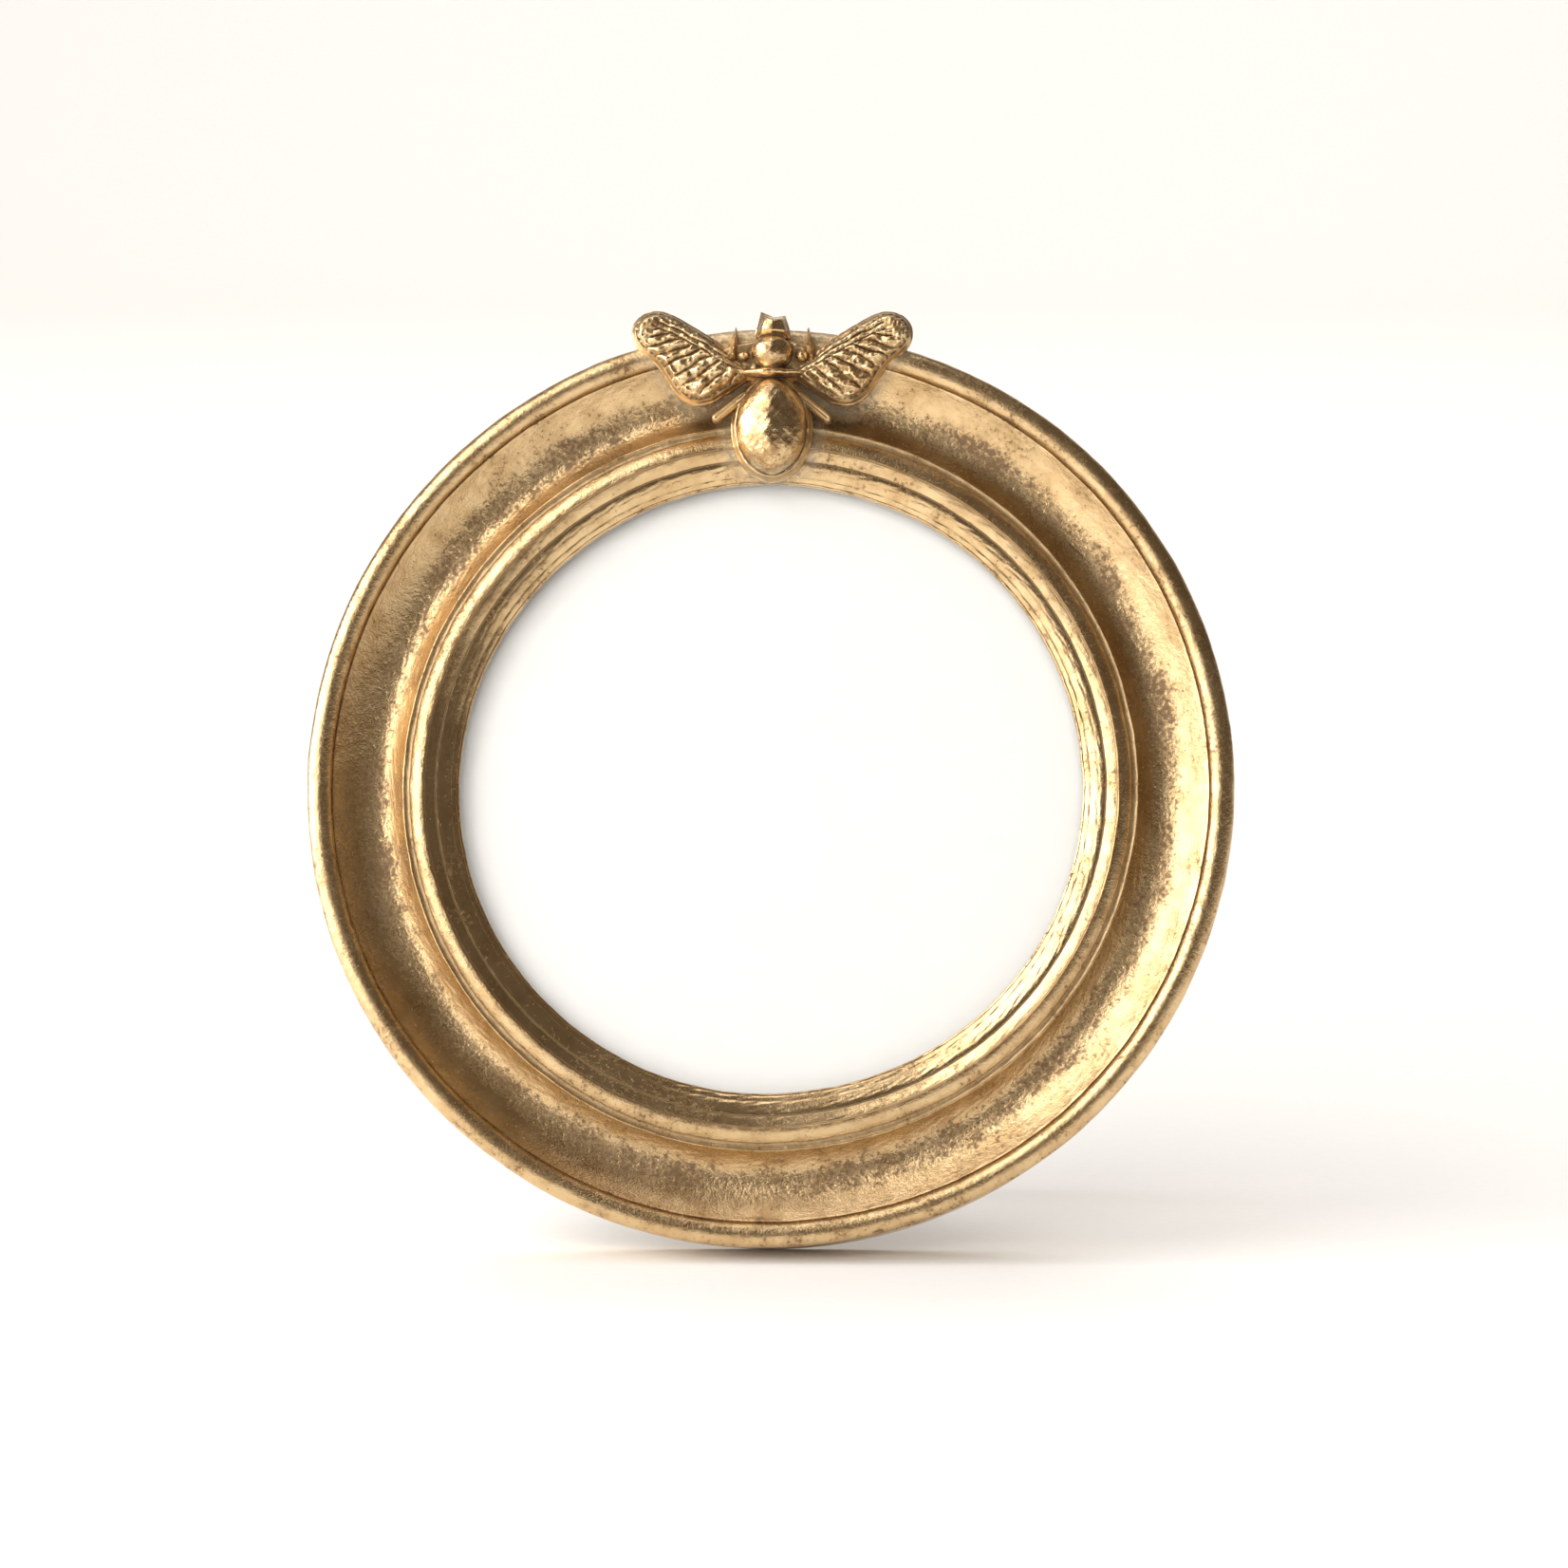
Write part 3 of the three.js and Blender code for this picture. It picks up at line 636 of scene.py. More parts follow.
@dataclass
class Relief:
    """A closed piece raised from a grid: a shaped top, a rim on the outline and a flat underside."""

    axes: LeaningAxes
    x: Array
    z: Array
    inside: Array
    top: Array
    base: float
    floor: Array | None = None

    def piece(self, name: str, cavity_rounds: int = 6, cavity_gain: float = 9) -> Piece:
        """Meshes the relief.

        Args:
            name: the piece's name.
            cavity_rounds: how far creases are felt, in grid steps.
            cavity_gain: how strongly they are marked.

        Returns:
            The piece with recess and ridge masks.
        """
        step = abs(self.x[1, 0] - self.x[0, 0])
        slope_x, slope_z = np.gradient(self.inside, step)
        steep = np.maximum(slope_x**2 + slope_z**2, 0.2)
        rim = self.inside < step * 0.75
        keep = self.inside > -step * 0.75
        x = np.where(rim, self.x - self.inside * slope_x / steep, self.x)
        z = np.where(rim, self.z - self.inside * slope_z / steep, self.z)
        quads = keep[:-1, :-1] & keep[1:, :-1] & keep[1:, 1:] & keep[:-1, 1:]
        used = np.zeros(keep.shape, dtype=bool)
        rows, columns = quads.shape
        for shift_x in (0, 1):
            for shift_z in (0, 1):
                used[shift_x : rows + shift_x, shift_z : columns + shift_z] |= quads
        number = np.full(keep.shape, -1)
        number[used] = np.arange(used.sum())
        count = int(used.sum())
        upper = self.axes.points(x[used], self.top[used], z[used])
        under = self.base if self.floor is None else np.minimum(self.floor, self.top - 0.2)[used]
        lower = self.axes.points(x[used], np.broadcast_to(under, x[used].shape), z[used])
        i, j = np.nonzero(quads)
        near_side, far_side = (number[i, j], number[i + 1, j]), (number[i + 1, j + 1], number[i, j + 1])
        corners = np.column_stack([*near_side, *far_side])
        faces = [tuple(row) for row in corners.tolist()]
        faces += [tuple(value + count for value in reversed(row)) for row in corners.tolist()]
        faces += self._walls(corners, count)
        # Creases below the blurred top, which the gilt darkens with toning and painted shade.
        hollow = blurred(self.top, cavity_rounds) - self.top
        recess = np.clip(hollow * cavity_gain, 0, 1)[used]
        ridge = np.clip(-hollow * cavity_gain, 0, 1)[used]
        empty = np.zeros(count)
        masks = {
            # The underside takes half of it, for grime and painted shade under the relief.
            "recess": np.concatenate([recess, empty + 0.5]),
            "ridge": np.concatenate([ridge, empty]),
            "floor": np.concatenate([empty, empty]),
            "near": np.concatenate([empty, empty]),
        }
        return Piece(name, np.vstack([upper, lower]), faces, masks)

    @staticmethod
    def _walls(corners: Array, count: int) -> list[tuple[int, ...]]:
        """Quads between the top's open edges and the underside's."""
        edges = {}
        for row in corners.tolist():
            for a, b in zip(row, row[1:] + row[:1]):
                if edges.pop((b, a), None) is None:
                    edges[(a, b)] = True
        return [(b, a, a + count, b + count) for a, b in edges]


# ---------------------------------------------------------------- the ring


@dataclass
class GiltMoulding:
    """The round moulding: outer bead, scoop, inner bead and stepped reeds round the sight opening."""

    axes: LeaningAxes
    outer_bead: tuple[float, float, float] = (68.05, 11.0, 1.9)
    back_radius: float = 69.2
    scoop_low: Pair = (59.2, 8.0)
    scoop_outer: tuple[float, float, float] = (65.9, 11.5, 1.95)
    scoop_inner: tuple[float, float, float] = (55.6, 10.5, 2.1)
    cove: tuple[float, float, float, float] = (54.95, 10.6, 0.5, 0.28)
    shoulder: tuple[Pair, Pair] = ((54.42, 10.55), (52.55, 11.45))
    reeds: tuple[Pair, ...] = (
        (52.35, 11.0),
        (50.6, 10.25),
        (49.5, 10.05),
        (48.3, 9.45),
        (47.4, 9.0),
    )
    sight_radius: float = 47.1
    sight_height: float = 9.0
    rebate_radius: float = 51.75
    ledge_height: float = 6.9
    waves: tuple[Pair, ...] = ((2, 0.1), (3, 0.07), (5, 0.05), (7, 0.04))
    segments: int = 560
    step: float = 0.27

    def section(self) -> Array:
        """Closed section of the moulding: rows of radius and height f, from the back's outer corner."""
        bead_r, bead_f, bead = self.outer_bead
        out_r, out_f, _ = self.scoop_outer
        in_r, in_f, _ = self.scoop_inner
        rows = [
            [[self.back_radius - 0.15, 0], [self.back_radius, 0.2], [69.75, 9.6]],
            arc((bead_r, bead_f), (bead, bead), -25, 168, 22),
            [[66.28, 11.32], [66.14, 11.36], [66.04, 11.6], [out_r + 0.04, out_f + 0.03]],
            self._wall(self.scoop_outer, 1, 0),
            self._wall(self.scoop_inner, 0, 1),
            [[in_r - 0.06, in_f + 0.06], [in_r - 0.14, in_f + 0.07]],
            arc(self.cove[:2], self.cove[2:], 0, -180, 10),
            self._swelling(*self.shoulder, 0.24),
            [[52.46, 11.2]],
            *(self._swelling(start, end, 0.08) for start, end in zip(self.reeds, self.reeds[1:])),
            arc((self.sight_radius + 0.3, self.sight_height - 0.2), (0.3, 0.3), 90, 180, 4),
            [[self.sight_radius, self.ledge_height], [self.rebate_radius, self.ledge_height]],
            [[self.rebate_radius, 0], [self.back_radius - 0.15, 0]],
        ]
        line = np.vstack([np.array(row, dtype=float) for row in rows])
        apart = np.linalg.norm(np.diff(line, axis=0), axis=1) > 1e-6
        return resampled(line[np.append(True, apart)], self.step)

    def _wall(self, edge: tuple[float, float, float], start: float, end: float) -> Array:
        """One side of the scoop.

        Args:
            edge: radius and height of its upper edge, and the power by which it steepens.
            start: 0 at the floor, 1 at the edge.
            end: the same for the last point.

        Returns:
            Rows of radius and height.
        """
        low_r, low_f = self.scoop_low
        share = np.linspace(start, end, 26)
        radius = low_r + (edge[0] - low_r) * share
        return np.column_stack([radius, low_f + (edge[1] - low_f) * share ** edge[2]])

    @staticmethod
    def _swelling(start: Pair, end: Pair, rise: float) -> Array:
        """A slightly rounded face of the section between two of its arrises."""
        share = np.linspace(0, 1, 8)
        face = np.array(start) + (np.array(end) - np.array(start)) * share[:, None]
        face[:, 1] += rise * np.sin(share * math.pi) ** 0.7
        return face

    @staticmethod
    def _hollows(section: Array, reach: int) -> Array:
        """How far each point of a section lies inside its smoothed line, in millimetres."""
        loop = section[:-1]
        soft = sum(np.roll(loop, shift, 0) for shift in range(-reach, reach + 1)) / (2 * reach + 1)
        along = np.roll(loop, -1, 0) - np.roll(loop, 1, 0)
        along /= np.maximum(np.linalg.norm(along, axis=1), 1e-9)[:, None]
        outward = np.column_stack([along[:, 1], -along[:, 0]])
        return ((soft - loop) * outward).sum(1)

    def piece(self, bee_outline: Array) -> Piece:
        """Revolves the section with hand-cut waviness.

        Args:
            bee_outline: outline of the bee's backplate, round which the ring gets a grey patina and
                painted shade.

        Returns:
            The ring with its masks.
        """
        section = self.section()
        hollow = self._hollows(section, 2) * 11 + self._hollows(section, 6) * 1.6
        loop = section[:-1]
        count = len(loop)
        turn = np.linspace(0, 2 * math.pi, self.segments, endpoint=False)[:, None]
        radius, height = loop[None, :, 0], loop[None, :, 1]
        front = smooth(3, 8, height)
        arc_mm = turn * 60
        ring = sum(np.sin(turn * k + 1.7 * k * k) * wave for k, wave in self.waves)
        shiver = value_noise(arc_mm, radius * 2.2, 7.5, 1) * 0.05
        shiver = shiver + value_noise(arc_mm, radius * 4, 2.6, 2) * 0.022
        lift = value_noise(arc_mm, radius * 1.5, 16, 3) * 0.09
        lift = lift + value_noise(arc_mm, radius * 5, 3.1, 4) * 0.03
        r = radius + (ring + shiver) * front
        f = height + lift * front
        squash = 1 - 0.012 * smooth(60, 49, radius) * front
        x, z = r * np.cos(turn), r * np.sin(turn) * squash
        points = self.axes.points(x, f, z)
        i = np.arange(self.segments)[:, None]
        j = np.arange(count)[None, :]
        here, beyond, after = i * count, ((i + 1) % self.segments) * count, (j + 1) % count
        corners = np.stack([here + j, here + after, beyond + after, beyond + j], -1)
        faces = [tuple(row) for row in corners.reshape(-1, 4).tolist()]
        full = np.ones_like(turn)
        wide = inside_distance(bee_outline, x, z)
        floor = smooth(63.0, 61.2, radius) * smooth(56.8, 58.4, radius) * smooth(6, 7, height) * full
        masks = {
            # recess: the section's hollows, which the gilt darkens with grime and painted shade.
            "recess": np.clip(hollow, 0, 1)[None, :] * full,
            "ridge": np.clip(-hollow * 0.8, 0, 1)[None, :] * full,
            "floor": floor,
            # near: under and round the bee, where the ring gets patina and painted shade.
            "near": smooth(-3.2, -0.2, wide) * front,
            "slope": smooth(52.8, 52.2, radius) * smooth(7, 8, height) * full,
        }
        flat = {key: mask.ravel() for key, mask in masks.items()}
        return Piece("gilt_moulding", points, faces, flat)

    def build(self, bee_outline: Array) -> None:
        """Makes the ring and dresses it."""
        finish = AgedGilt("aged_gilt_ring").material()
        self.piece(bee_outline).build("frame", "gilded_wood", ["moulding_ring"], finish)


# ---------------------------------------------------------------- the bee


@dataclass
class ReliefBee:
    """The bee on the top of the ring: backplate, two ribbed wings, and a keeled body."""

    axes: LeaningAxes
    plate_top: float = 13.9
    plate_base: float = 11.5
    seat: float = 14.25
    step: float = 0.1
    rim: float = 0.6
    wing_corners: tuple[Pair, ...] = (
        (-3.6, 63.2),
        (-6.2, 65.0),
        (-7.8, 66.6),
        (-10.2, 68.3),
        (-12.8, 69.9),
        (-15.3, 71.3),
        (-17.4, 71.9),
        (-19.4, 71.4),
        (-20.6, 70.0),
        (-20.6, 68.2),
        (-19.4, 66.5),
        (-17.4, 64.8),
        (-16.0, 63.0),
        (-14.8, 61.0),
        (-13.4, 59.4),
        (-11.6, 58.6),
        (-9.5, 58.9),
        (-7.6, 60.0),
        (-5.0, 61.7),
    )
    vein_root: Pair = (-5.0, 62.7)
    vein_tip: Pair = (-18.8, 70.2)
    lobe_count: float = 9.0
    rib_gap: float = 0.9
    abdomen: tuple[float, float, float, float] = (54.5, 5.35, 7.5, 4.2)
    thorax: tuple[float, float, float, float] = (65.9, 3.15, 2.85, 3.3)
    collar: tuple[float, float, float, float] = (62.75, 5.0, 0.8, 2.2)
    shoulder: tuple[float, float, float] = (4.4, 65.3, 0.95)
    head_corners: tuple[Pair, ...] = (
        (-2.5, 68.0),
        (2.8, 68.0),
        (2.7, 69.3),
        (2.0, 71.5),
        (0.3, 71.2),
        (-1.7, 72.1),
        (-2.2, 69.8),
    )
    hind_leg: Limb = ((-4.2, 59.4), (-8.4, 56.0), 0.7, 0.7)
    fore_leg: Limb = ((-6.0, 65.0), (-5.5, 69.6), 1.0, 0.16)

    def _grid(self, x_range: Pair, z_range: Pair) -> tuple[Array, Array]:
        """Square grid over a rectangle."""
        x = np.arange(x_range[0], x_range[1] + self.step, self.step)
        z = np.arange(z_range[0], z_range[1] + self.step, self.step)
        return np.meshgrid(x, z, indexing="ij")

    @staticmethod
    def _oval(z: float, half_width: float, half_length: float) -> Array:
        """Outline of an oval on the centre line."""
        angle = np.linspace(0, 2 * math.pi, 72, endpoint=False)
        return np.column_stack([half_width * np.cos(angle), z + half_length * np.sin(angle)])

    @staticmethod
    def _inside_limb(limb: Limb, x: Array, z: Array) -> tuple[Array, Array, Array]:
        """Distance inside a tapering limb, and across it from its middle line.

        Args:
            limb: its two ends, then its radius at each.
            x: where it is asked.
            z: where it is asked.

        Returns:
            The distance inside, the radius there and the distance from the middle line.
        """
        (x0, z0), (x1, z1), first, last = limb
        dx, dz = x1 - x0, z1 - z0
        share = np.clip(((x - x0) * dx + (z - z0) * dz) / (dx * dx + dz * dz), 0, 1)
        away = np.hypot(x - x0 - share * dx, z - z0 - share * dz)
        radius = first + (last - first) * share
        return radius - away, radius, away

    def outline(self) -> Array:
        """Rough outline of the whole bee, for the patina and painted shade round it."""
        wing = np.array(self.wing_corners[9:])
        belly = np.array([(-6.4, 57.0), (-5.6, 50.0), (0.0, 46.2)])
        left = np.vstack([[(-5.0, 73.0), (-20.6, 72.0)], wing, belly])
        return np.vstack([left, left[-2::-1] * [-1, 1]])

    def backplate(self) -> Piece:
        """Thin layer behind wings and body, with the legs cast on it."""
        x, z = self._grid((-23, 23), (46.2, 75))
        left = -np.abs(x)
        wing = inside_distance(closed_curve(list(self.wing_corners)), left, z) + self.rim
        middle, half_width, half_length, _ = self.abdomen
        belly = inside_distance(self._oval(middle, half_width + 0.85, half_length + 0.75), x, z)
        chest = inside_distance(self._oval(64.9, 9.4, 3.3), x, z)
        neck = inside_distance(self._oval(69.0, 2.6, 2.4), x, z)
        hind, hind_radius, hind_away = self._inside_limb(self.hind_leg, left, z)
        fore, fore_radius, fore_away = self._inside_limb(self.fore_leg, left, z)
        inside = np.maximum.reduce([wing, belly, chest, neck, hind, fore])
        top = self.plate_top - 1.1 * (1 - smooth(0, 0.7, inside)) + value_noise(x, z, 1.5, 5) * 0.09
        leg = 13.1 + np.sqrt(np.clip(hind_radius**2 - hind_away**2, 0, None)) * 1.5
        leg -= 0.3 * np.exp(-((hind_away / 0.16) ** 2))
        top = np.where(hind > 0, np.maximum(leg, np.where(belly > 0, top, 12)), top)
        claw = self.plate_top - 0.4 + (1 - fore_away / np.maximum(fore_radius, 0.05)) * 1.5
        top = np.where(fore > 0, np.maximum(top, claw), top)
        return Relief(self.axes, x, z, inside, top, self.plate_base).piece("bee_layer", 5, 5)

    @staticmethod
    def _lobe_share(x: Array, z: Array, root: Array, vein: Array) -> Array:
        """How far along the mid vein the lobe through each point starts.

        Args:
            x: where it is asked.
            z: where it is asked.
            root: start of the mid vein.
            vein: the vein as a vector to its tip.

        Returns:
            The share of the vein, 0 at the root and 1 at the tip.
        """
        share = ((x - root[0]) * vein[0] + (z - root[1]) * vein[1]) / float(vein @ vein)
        for _ in range(14):
            angle = math.radians(184) + math.radians(46) * np.clip(1 - share, 0, 1) ** 1.4
            cos, sin = np.cos(angle), np.sin(angle)
            aside = (z - root[1] - vein[1] * share) * cos - (x - root[0] - vein[0] * share) * sin
            share = share + 0.8 * aside / (vein[1] * cos - vein[0] * sin)
        return share

    def wing(self, side: int) -> Piece:
        """One wing: long ribs along the leading edge, lobes that fan out below the mid vein.

        Args:
            side: -1 for the left wing, 1 for the right one.

        Returns:
            The wing.
        """
        x, z = self._grid((-22, -3), (57.6, 73))
        inside = inside_distance(closed_curve(list(self.wing_corners)), x, z)
        root, tip = np.array(self.vein_root), np.array(self.vein_tip)
        length = float(np.linalg.norm(tip - root))
        along = (tip - root) / length
        upward = np.array([along[1], -along[0]])
        share = ((x - root[0]) * along[0] + (z - root[1]) * along[1]) / length
        above = (x - root[0]) * upward[0] + (z - root[1]) * upward[1]
        above = above - 0.35 * np.sin(np.clip(share, 0, 1) * math.pi)
        lobe = self._lobe_share(x, z, root, along * length)
        lobe_wave = lobe * math.pi * self.lobe_count + value_noise(x, z, 3.4, 11 + side) * 0.5
        rib_wave = above * math.pi / self.rib_gap + value_noise(x, z, 3.6, 21 + side) * 0.55
        swell = 0.8 + value_noise(x, z, 1.9, 25 + side) * 0.38
        below = smooth(0.15, -0.3, above)
        lobes = np.abs(np.sin(lobe_wave)) ** 0.8 * 0.85
        ribs = np.abs(np.sin(rib_wave)) ** 0.8 * 0.55
        relief = (below * lobes + (1 - below) * ribs) * swell
        tip_pad = smooth(0.86, 0.98, share) * smooth(0.1, 0.9, inside)
        relief = relief * (1 - tip_pad) + tip_pad * 0.75
        edge = smooth(0, 0.8, inside)
        dish = 0.2 * smooth(0, 3, inside) + 0.7 * smooth(0.5, 0, share) * smooth(0.6, 1.8, inside)
        top = self.seat + 0.1 + edge * (0.55 + dish + relief) + value_noise(x, z, 0.8, 31 + side) * 0.085
        if side > 0:
            x, z, inside, top = -x[::-1], z[::-1], inside[::-1], top[::-1]
        name = "bee_wing_relief_left" if side < 0 else "bee_wing_relief_right"
        return Relief(self.axes, x, z, inside, top, self.seat - 0.3).piece(name, 8, 6)

    def body(self) -> Piece:
        """Head, thorax, collar and abdomen, each with a soft keel down its middle."""
        x, z = self._grid((-6.2, 6.2), (46, 73))
        inside = np.full(x.shape, -9.0)
        top = np.full(x.shape, self.seat)
        for centre, half_width, half_length, rise in (self.abdomen, self.thorax, self.collar):
            part = inside_distance(self._oval(centre, half_width, half_length), x, z)
            reach = np.abs(x / half_width) ** 1.55 + np.abs((z - centre) / half_length) ** 2.1
            crown = self.seat + rise * np.sqrt(np.clip(1 - reach, 0, 1))
            inside = np.maximum(inside, part)
            top = np.where(part > 0, np.maximum(top, crown), top)
        knob_x, knob_z, knob = self.shoulder
        ball = knob - np.hypot(np.abs(x) - knob_x, z - knob_z)
        inside = np.maximum(inside, ball)
        dome = self.seat + 1.5 * np.sqrt(np.clip(ball, 0, None))
        top = np.where(ball > 0, np.maximum(top, dome), top)
        head = inside_distance(np.array(self.head_corners), x, z)
        crest = self.seat + smooth(0, 0.9, head) * 1.6 + np.clip(1 - np.abs(x - 0.1) / 2.8, 0, 1) * 0.9
        inside = np.maximum(inside, head)
        top = np.where(head > 0, np.maximum(top, crest + smooth(71.5, 69, z) * 0.5), top)
        top = blurred(top, 3) + value_noise(x, z, 2.2, 41) * 0.1
        top = top + value_noise(x, z, 1.0, 42) * 0.035
        return Relief(self.axes, x, z, inside, top, self.seat - 0.3).piece("bee_body_relief", 10, 3.2)

    def build(self) -> None:
        """Makes and dresses every piece of the bee."""
        layer = AgedGilt("aged_gilt_bee_layer", grain=0.6, wear=0.7, roughness=0.32).material()
        feather = BurnishedGilt("toned_gilt_wings", roughness=0.24).material()
        polished = BurnishedGilt("burnished_gilt_body", roughness=0.12).material()
        self.backplate().build("frame", "gilded_metal", ["bee_backplate"], layer)
        self.wing(-1).build("frame", "gilded_metal_polished", ["bee_wing_left"], feather)
        self.wing(1).build("frame", "gilded_metal_polished", ["bee_wing_right"], feather)
        self.body().build("frame", "gilded_metal_polished", ["bee_body"], polished)
        steel = WornMetal("pin_steel", rgb(178, 178, 176), rgb(110, 104, 98)).material()
        dress(["bee_pin_left", "bee_pin_right"], steel)


# ---------------------------------------------------------------- what the ring holds


@dataclass
class PictureStack:
    """Glass, blank card, hardboard and its velveteen cover."""

    def build(self) -> None:
        """Dresses the sheets that keep their CAD shape."""
        dress(["glass"], ClearGlass("picture_glass").material())
        card = MattBoard("blank_card", rgb(252, 252, 250), rgb(247, 246, 243), 0.3, 0.78, 0.006)
        dress(["picture_card"], card.material())
        board = MattBoard("brown_hardboard", rgb(122, 88, 58), rgb(92, 62, 38), 0.5, 0.8, 0.04)
        dress(["backing_board"], board.material())
        dress(["backing_cover"], PileFabric("velveteen_cover").material())


@dataclass
class RoundHead:
    """Domed head of a screw or rivet on the rear, with an optional driver slot."""

    axes: LeaningAxes
    x: float
    z: float
    seat: float
    radius: float
    rise: float
    slotted: bool = False

    def piece(self, name: str) -> Piece:
        """Meshes the head.

        Args:
            name: the piece's name.

        Returns:
            The head, its crown towards the rear.
        """
        step = self.radius / 22
        line = np.arange(-26, 27) * step
        x, z = np.meshgrid(line, line, indexing="ij")
        away = np.hypot(x, z)
        inside = self.radius - away
        top = self.rise * (0.45 + 0.55 * np.sqrt(np.clip(1 - (away / self.radius) ** 2, 0, 1)))
        if self.slotted:
            top -= 0.5 * self.rise * smooth(0.3, 0.2, np.abs(x * 0.3 + z * 0.954))
        rear = RearAxes(self.axes.centre, self.axes.lean)
        relief = Relief(rear, x - self.x, z + self.z, inside, self.seat + top, self.seat)
        return relief.piece(name, 3, 10)


@dataclass(frozen=True)
class RearAxes(LeaningAxes):
    """The same axes seen from behind: x and f both turn round, so that f rises towards the rear."""

    def points(self, x: Array, f: Array, z: Array) -> Array:
        """Turns rear-facing coordinates into row positions."""
        return super().points(-np.asarray(x), -np.asarray(f), z)


@dataclass
class TurnFasteners:
    """Four brass bars and their slotted screws on the ring's back."""

    axes: LeaningAxes
    pivot_radius: float = 59.0
    places: tuple[tuple[str, float], ...] = (
        ("upper_right", 45),
        ("upper_left", 135),
        ("lower_left", 225),
        ("lower_right", 315),
    )

    def build(self) -> None:
        """Dresses the bars and makes the screw heads."""
        brass = WornMetal("button_brass", rgb(214, 178, 104), rgb(140, 104, 58), 0.3, Coat.WAX)
        steel = WornMetal("screw_steel", rgb(186, 184, 178), rgb(118, 108, 96), 0.28).material()
        dress([f"turn_button_{place}" for place, _ in self.places], brass.material())
        for place, degrees in self.places:
            turn = math.radians(degrees)
            x, z = self.pivot_radius * math.cos(turn), self.pivot_radius * math.sin(turn)
            head = RoundHead(self.axes, x, z, 1.6, 1.9, 1.0, True).piece(f"screw_head_{place}")
            head.build("frame", "steel", [f"button_screw_{place}"], steel)


# ---------------------------------------------------------------- easel, hanger and pads


@dataclass
class EaselStand:
    """The covered leg with its hinge and rivets."""

    axes: LeaningAxes
    open_angle: float = math.radians(27)
    inner: float = -1.4
    outer: float = 0.9
    top_s: float = 2.6
    half_top: float = 8.5
    half_waist: float = 10.0
    half_foot: float = 17.0
    waist_s: float = 40.0
    flare: float = 70.0
    rounding: float = 0.45
    rows: int = 60

    def leg_axes(self) -> LeaningAxes:
        """Axes along the leg, with the hinge pin at their origin."""
        joints = {joint["name"]: joint for joint in frame["record"]["behaviour"]["joints"]}
        return LeaningAxes(Vector(joints["easel_hinge"]["pos_m"]), LEAN - self.open_angle)

    def _outline(self, t: float, inset: float, axes: LeaningAxes) -> Array:
        """Outline of the leg at one depth, down its right side and up its left, as rows of x and -s.

        Args:
            t: depth in the leg, towards its rear face.
            inset: how far the outline is pulled in.
            axes: the leg's axes.

        Returns:
            The outline; its lowest edge lies on the table.
        """
        lean = -axes.lean
        foot = (axes.centre.z / MM + t * math.sin(lean)) / math.cos(lean) - inset
        s = np.linspace(self.top_s + inset, foot, self.rows)
        half = self.half_top + (self.half_waist - self.half_top) * np.minimum(s / self.waist_s, 1)
        half += (self.half_foot - self.half_waist) * np.maximum((s - self.waist_s) / self.flare, 0)
        right = np.column_stack([half - inset, -s])
        return np.vstack([right, right[::-1] * [-1, 1]])

    def leg(self) -> Piece:
        """The leg as stacked outlines, rounded at every long edge where the pile turns over."""
        axes = self.leg_axes()
        turns = np.radians(np.linspace(90, 0, 5))
        sunk, pulled = self.rounding * (1 - np.sin(turns)), self.rounding * (1 - np.cos(turns))
        lower = list(zip((self.inner + sunk).tolist(), pulled.tolist()))
        levels = lower + [(self.outer + self.inner - t, inset) for t, inset in reversed(lower)]
        rings = [(t, self._outline(t, inset, axes)) for t, inset in levels]
        points = np.vstack([axes.points(ring[:, 0], -t, ring[:, 1]) for t, ring in rings])
        count = 2 * self.rows
        faces = []
        for start in range(0, count * (len(rings) - 1), count):
            for k in range(count):
                a, b = start + k, start + (k + 1) % count
                faces.append((a, b, b + count, a + count))
        for k in range(self.rows - 1):
            strip = (k, k + 1, count - 2 - k, count - 1 - k)
            faces.append(strip[::-1])
            faces.append(tuple(corner + count * (len(rings) - 1) for corner in strip))
        return Piece("covered_leg", points, faces, {}, 60)

    def build(self) -> None:
        """Makes the leg and the rivet heads, and dresses the hinge."""
        pile = PileFabric("velveteen_leg").material()
        brass = WornMetal("hinge_brass", rgb(208, 172, 100), rgb(132, 98, 54), 0.3, Coat.WAX).material()
        steel = WornMetal("hinge_pin_steel", rgb(182, 180, 174), rgb(112, 104, 94), 0.26).material()
        self.leg().build("easel", "velvet_board", ["easel_leg"], pile)
        dress(["hinge_leaf_fixed", "hinge_leaf_moving"], brass)
        dress(["hinge_pin"], steel)
        for name, x in (("left", -6.0), ("right", 6.0)):
            board = RoundHead(self.axes, x, 43.3, 1.4, 1.5, 0.8).piece(f"rivet_head_board_{name}")
            board.build("frame", "brass", [f"rivet_board_{name}"], brass)
            lower = RoundHead(self.leg_axes(), x, -9.3, 2.3, 1.5, 0.8).piece(f"rivet_head_leg_{name}")
            lower.build("easel", "brass", [f"rivet_leg_{name}"], brass)


@dataclass
class WallFittings:
    """Sawtooth hanger, its nails, and the two pads."""

    def build(self) -> None:
        """Dresses the fittings that keep their CAD shape."""
        brass = WornMetal("hanger_brass", rgb(200, 166, 98), rgb(126, 96, 56), 0.34).material()
        steel = WornMetal("nail_steel", rgb(176, 174, 168), rgb(104, 96, 88)).material()
        dress(["hanger"], brass)
        dress(["hanger_nail_left", "hanger_nail_right"], steel)
        pads = MattBoard("pad_rubber", rgb(58, 56, 53), rgb(40, 38, 36), 0.25, 0.7, 0.02)
        dress(["bumper_pad_left", "bumper_pad_right"], pads.material())


# ---------------------------------------------------------------- studio


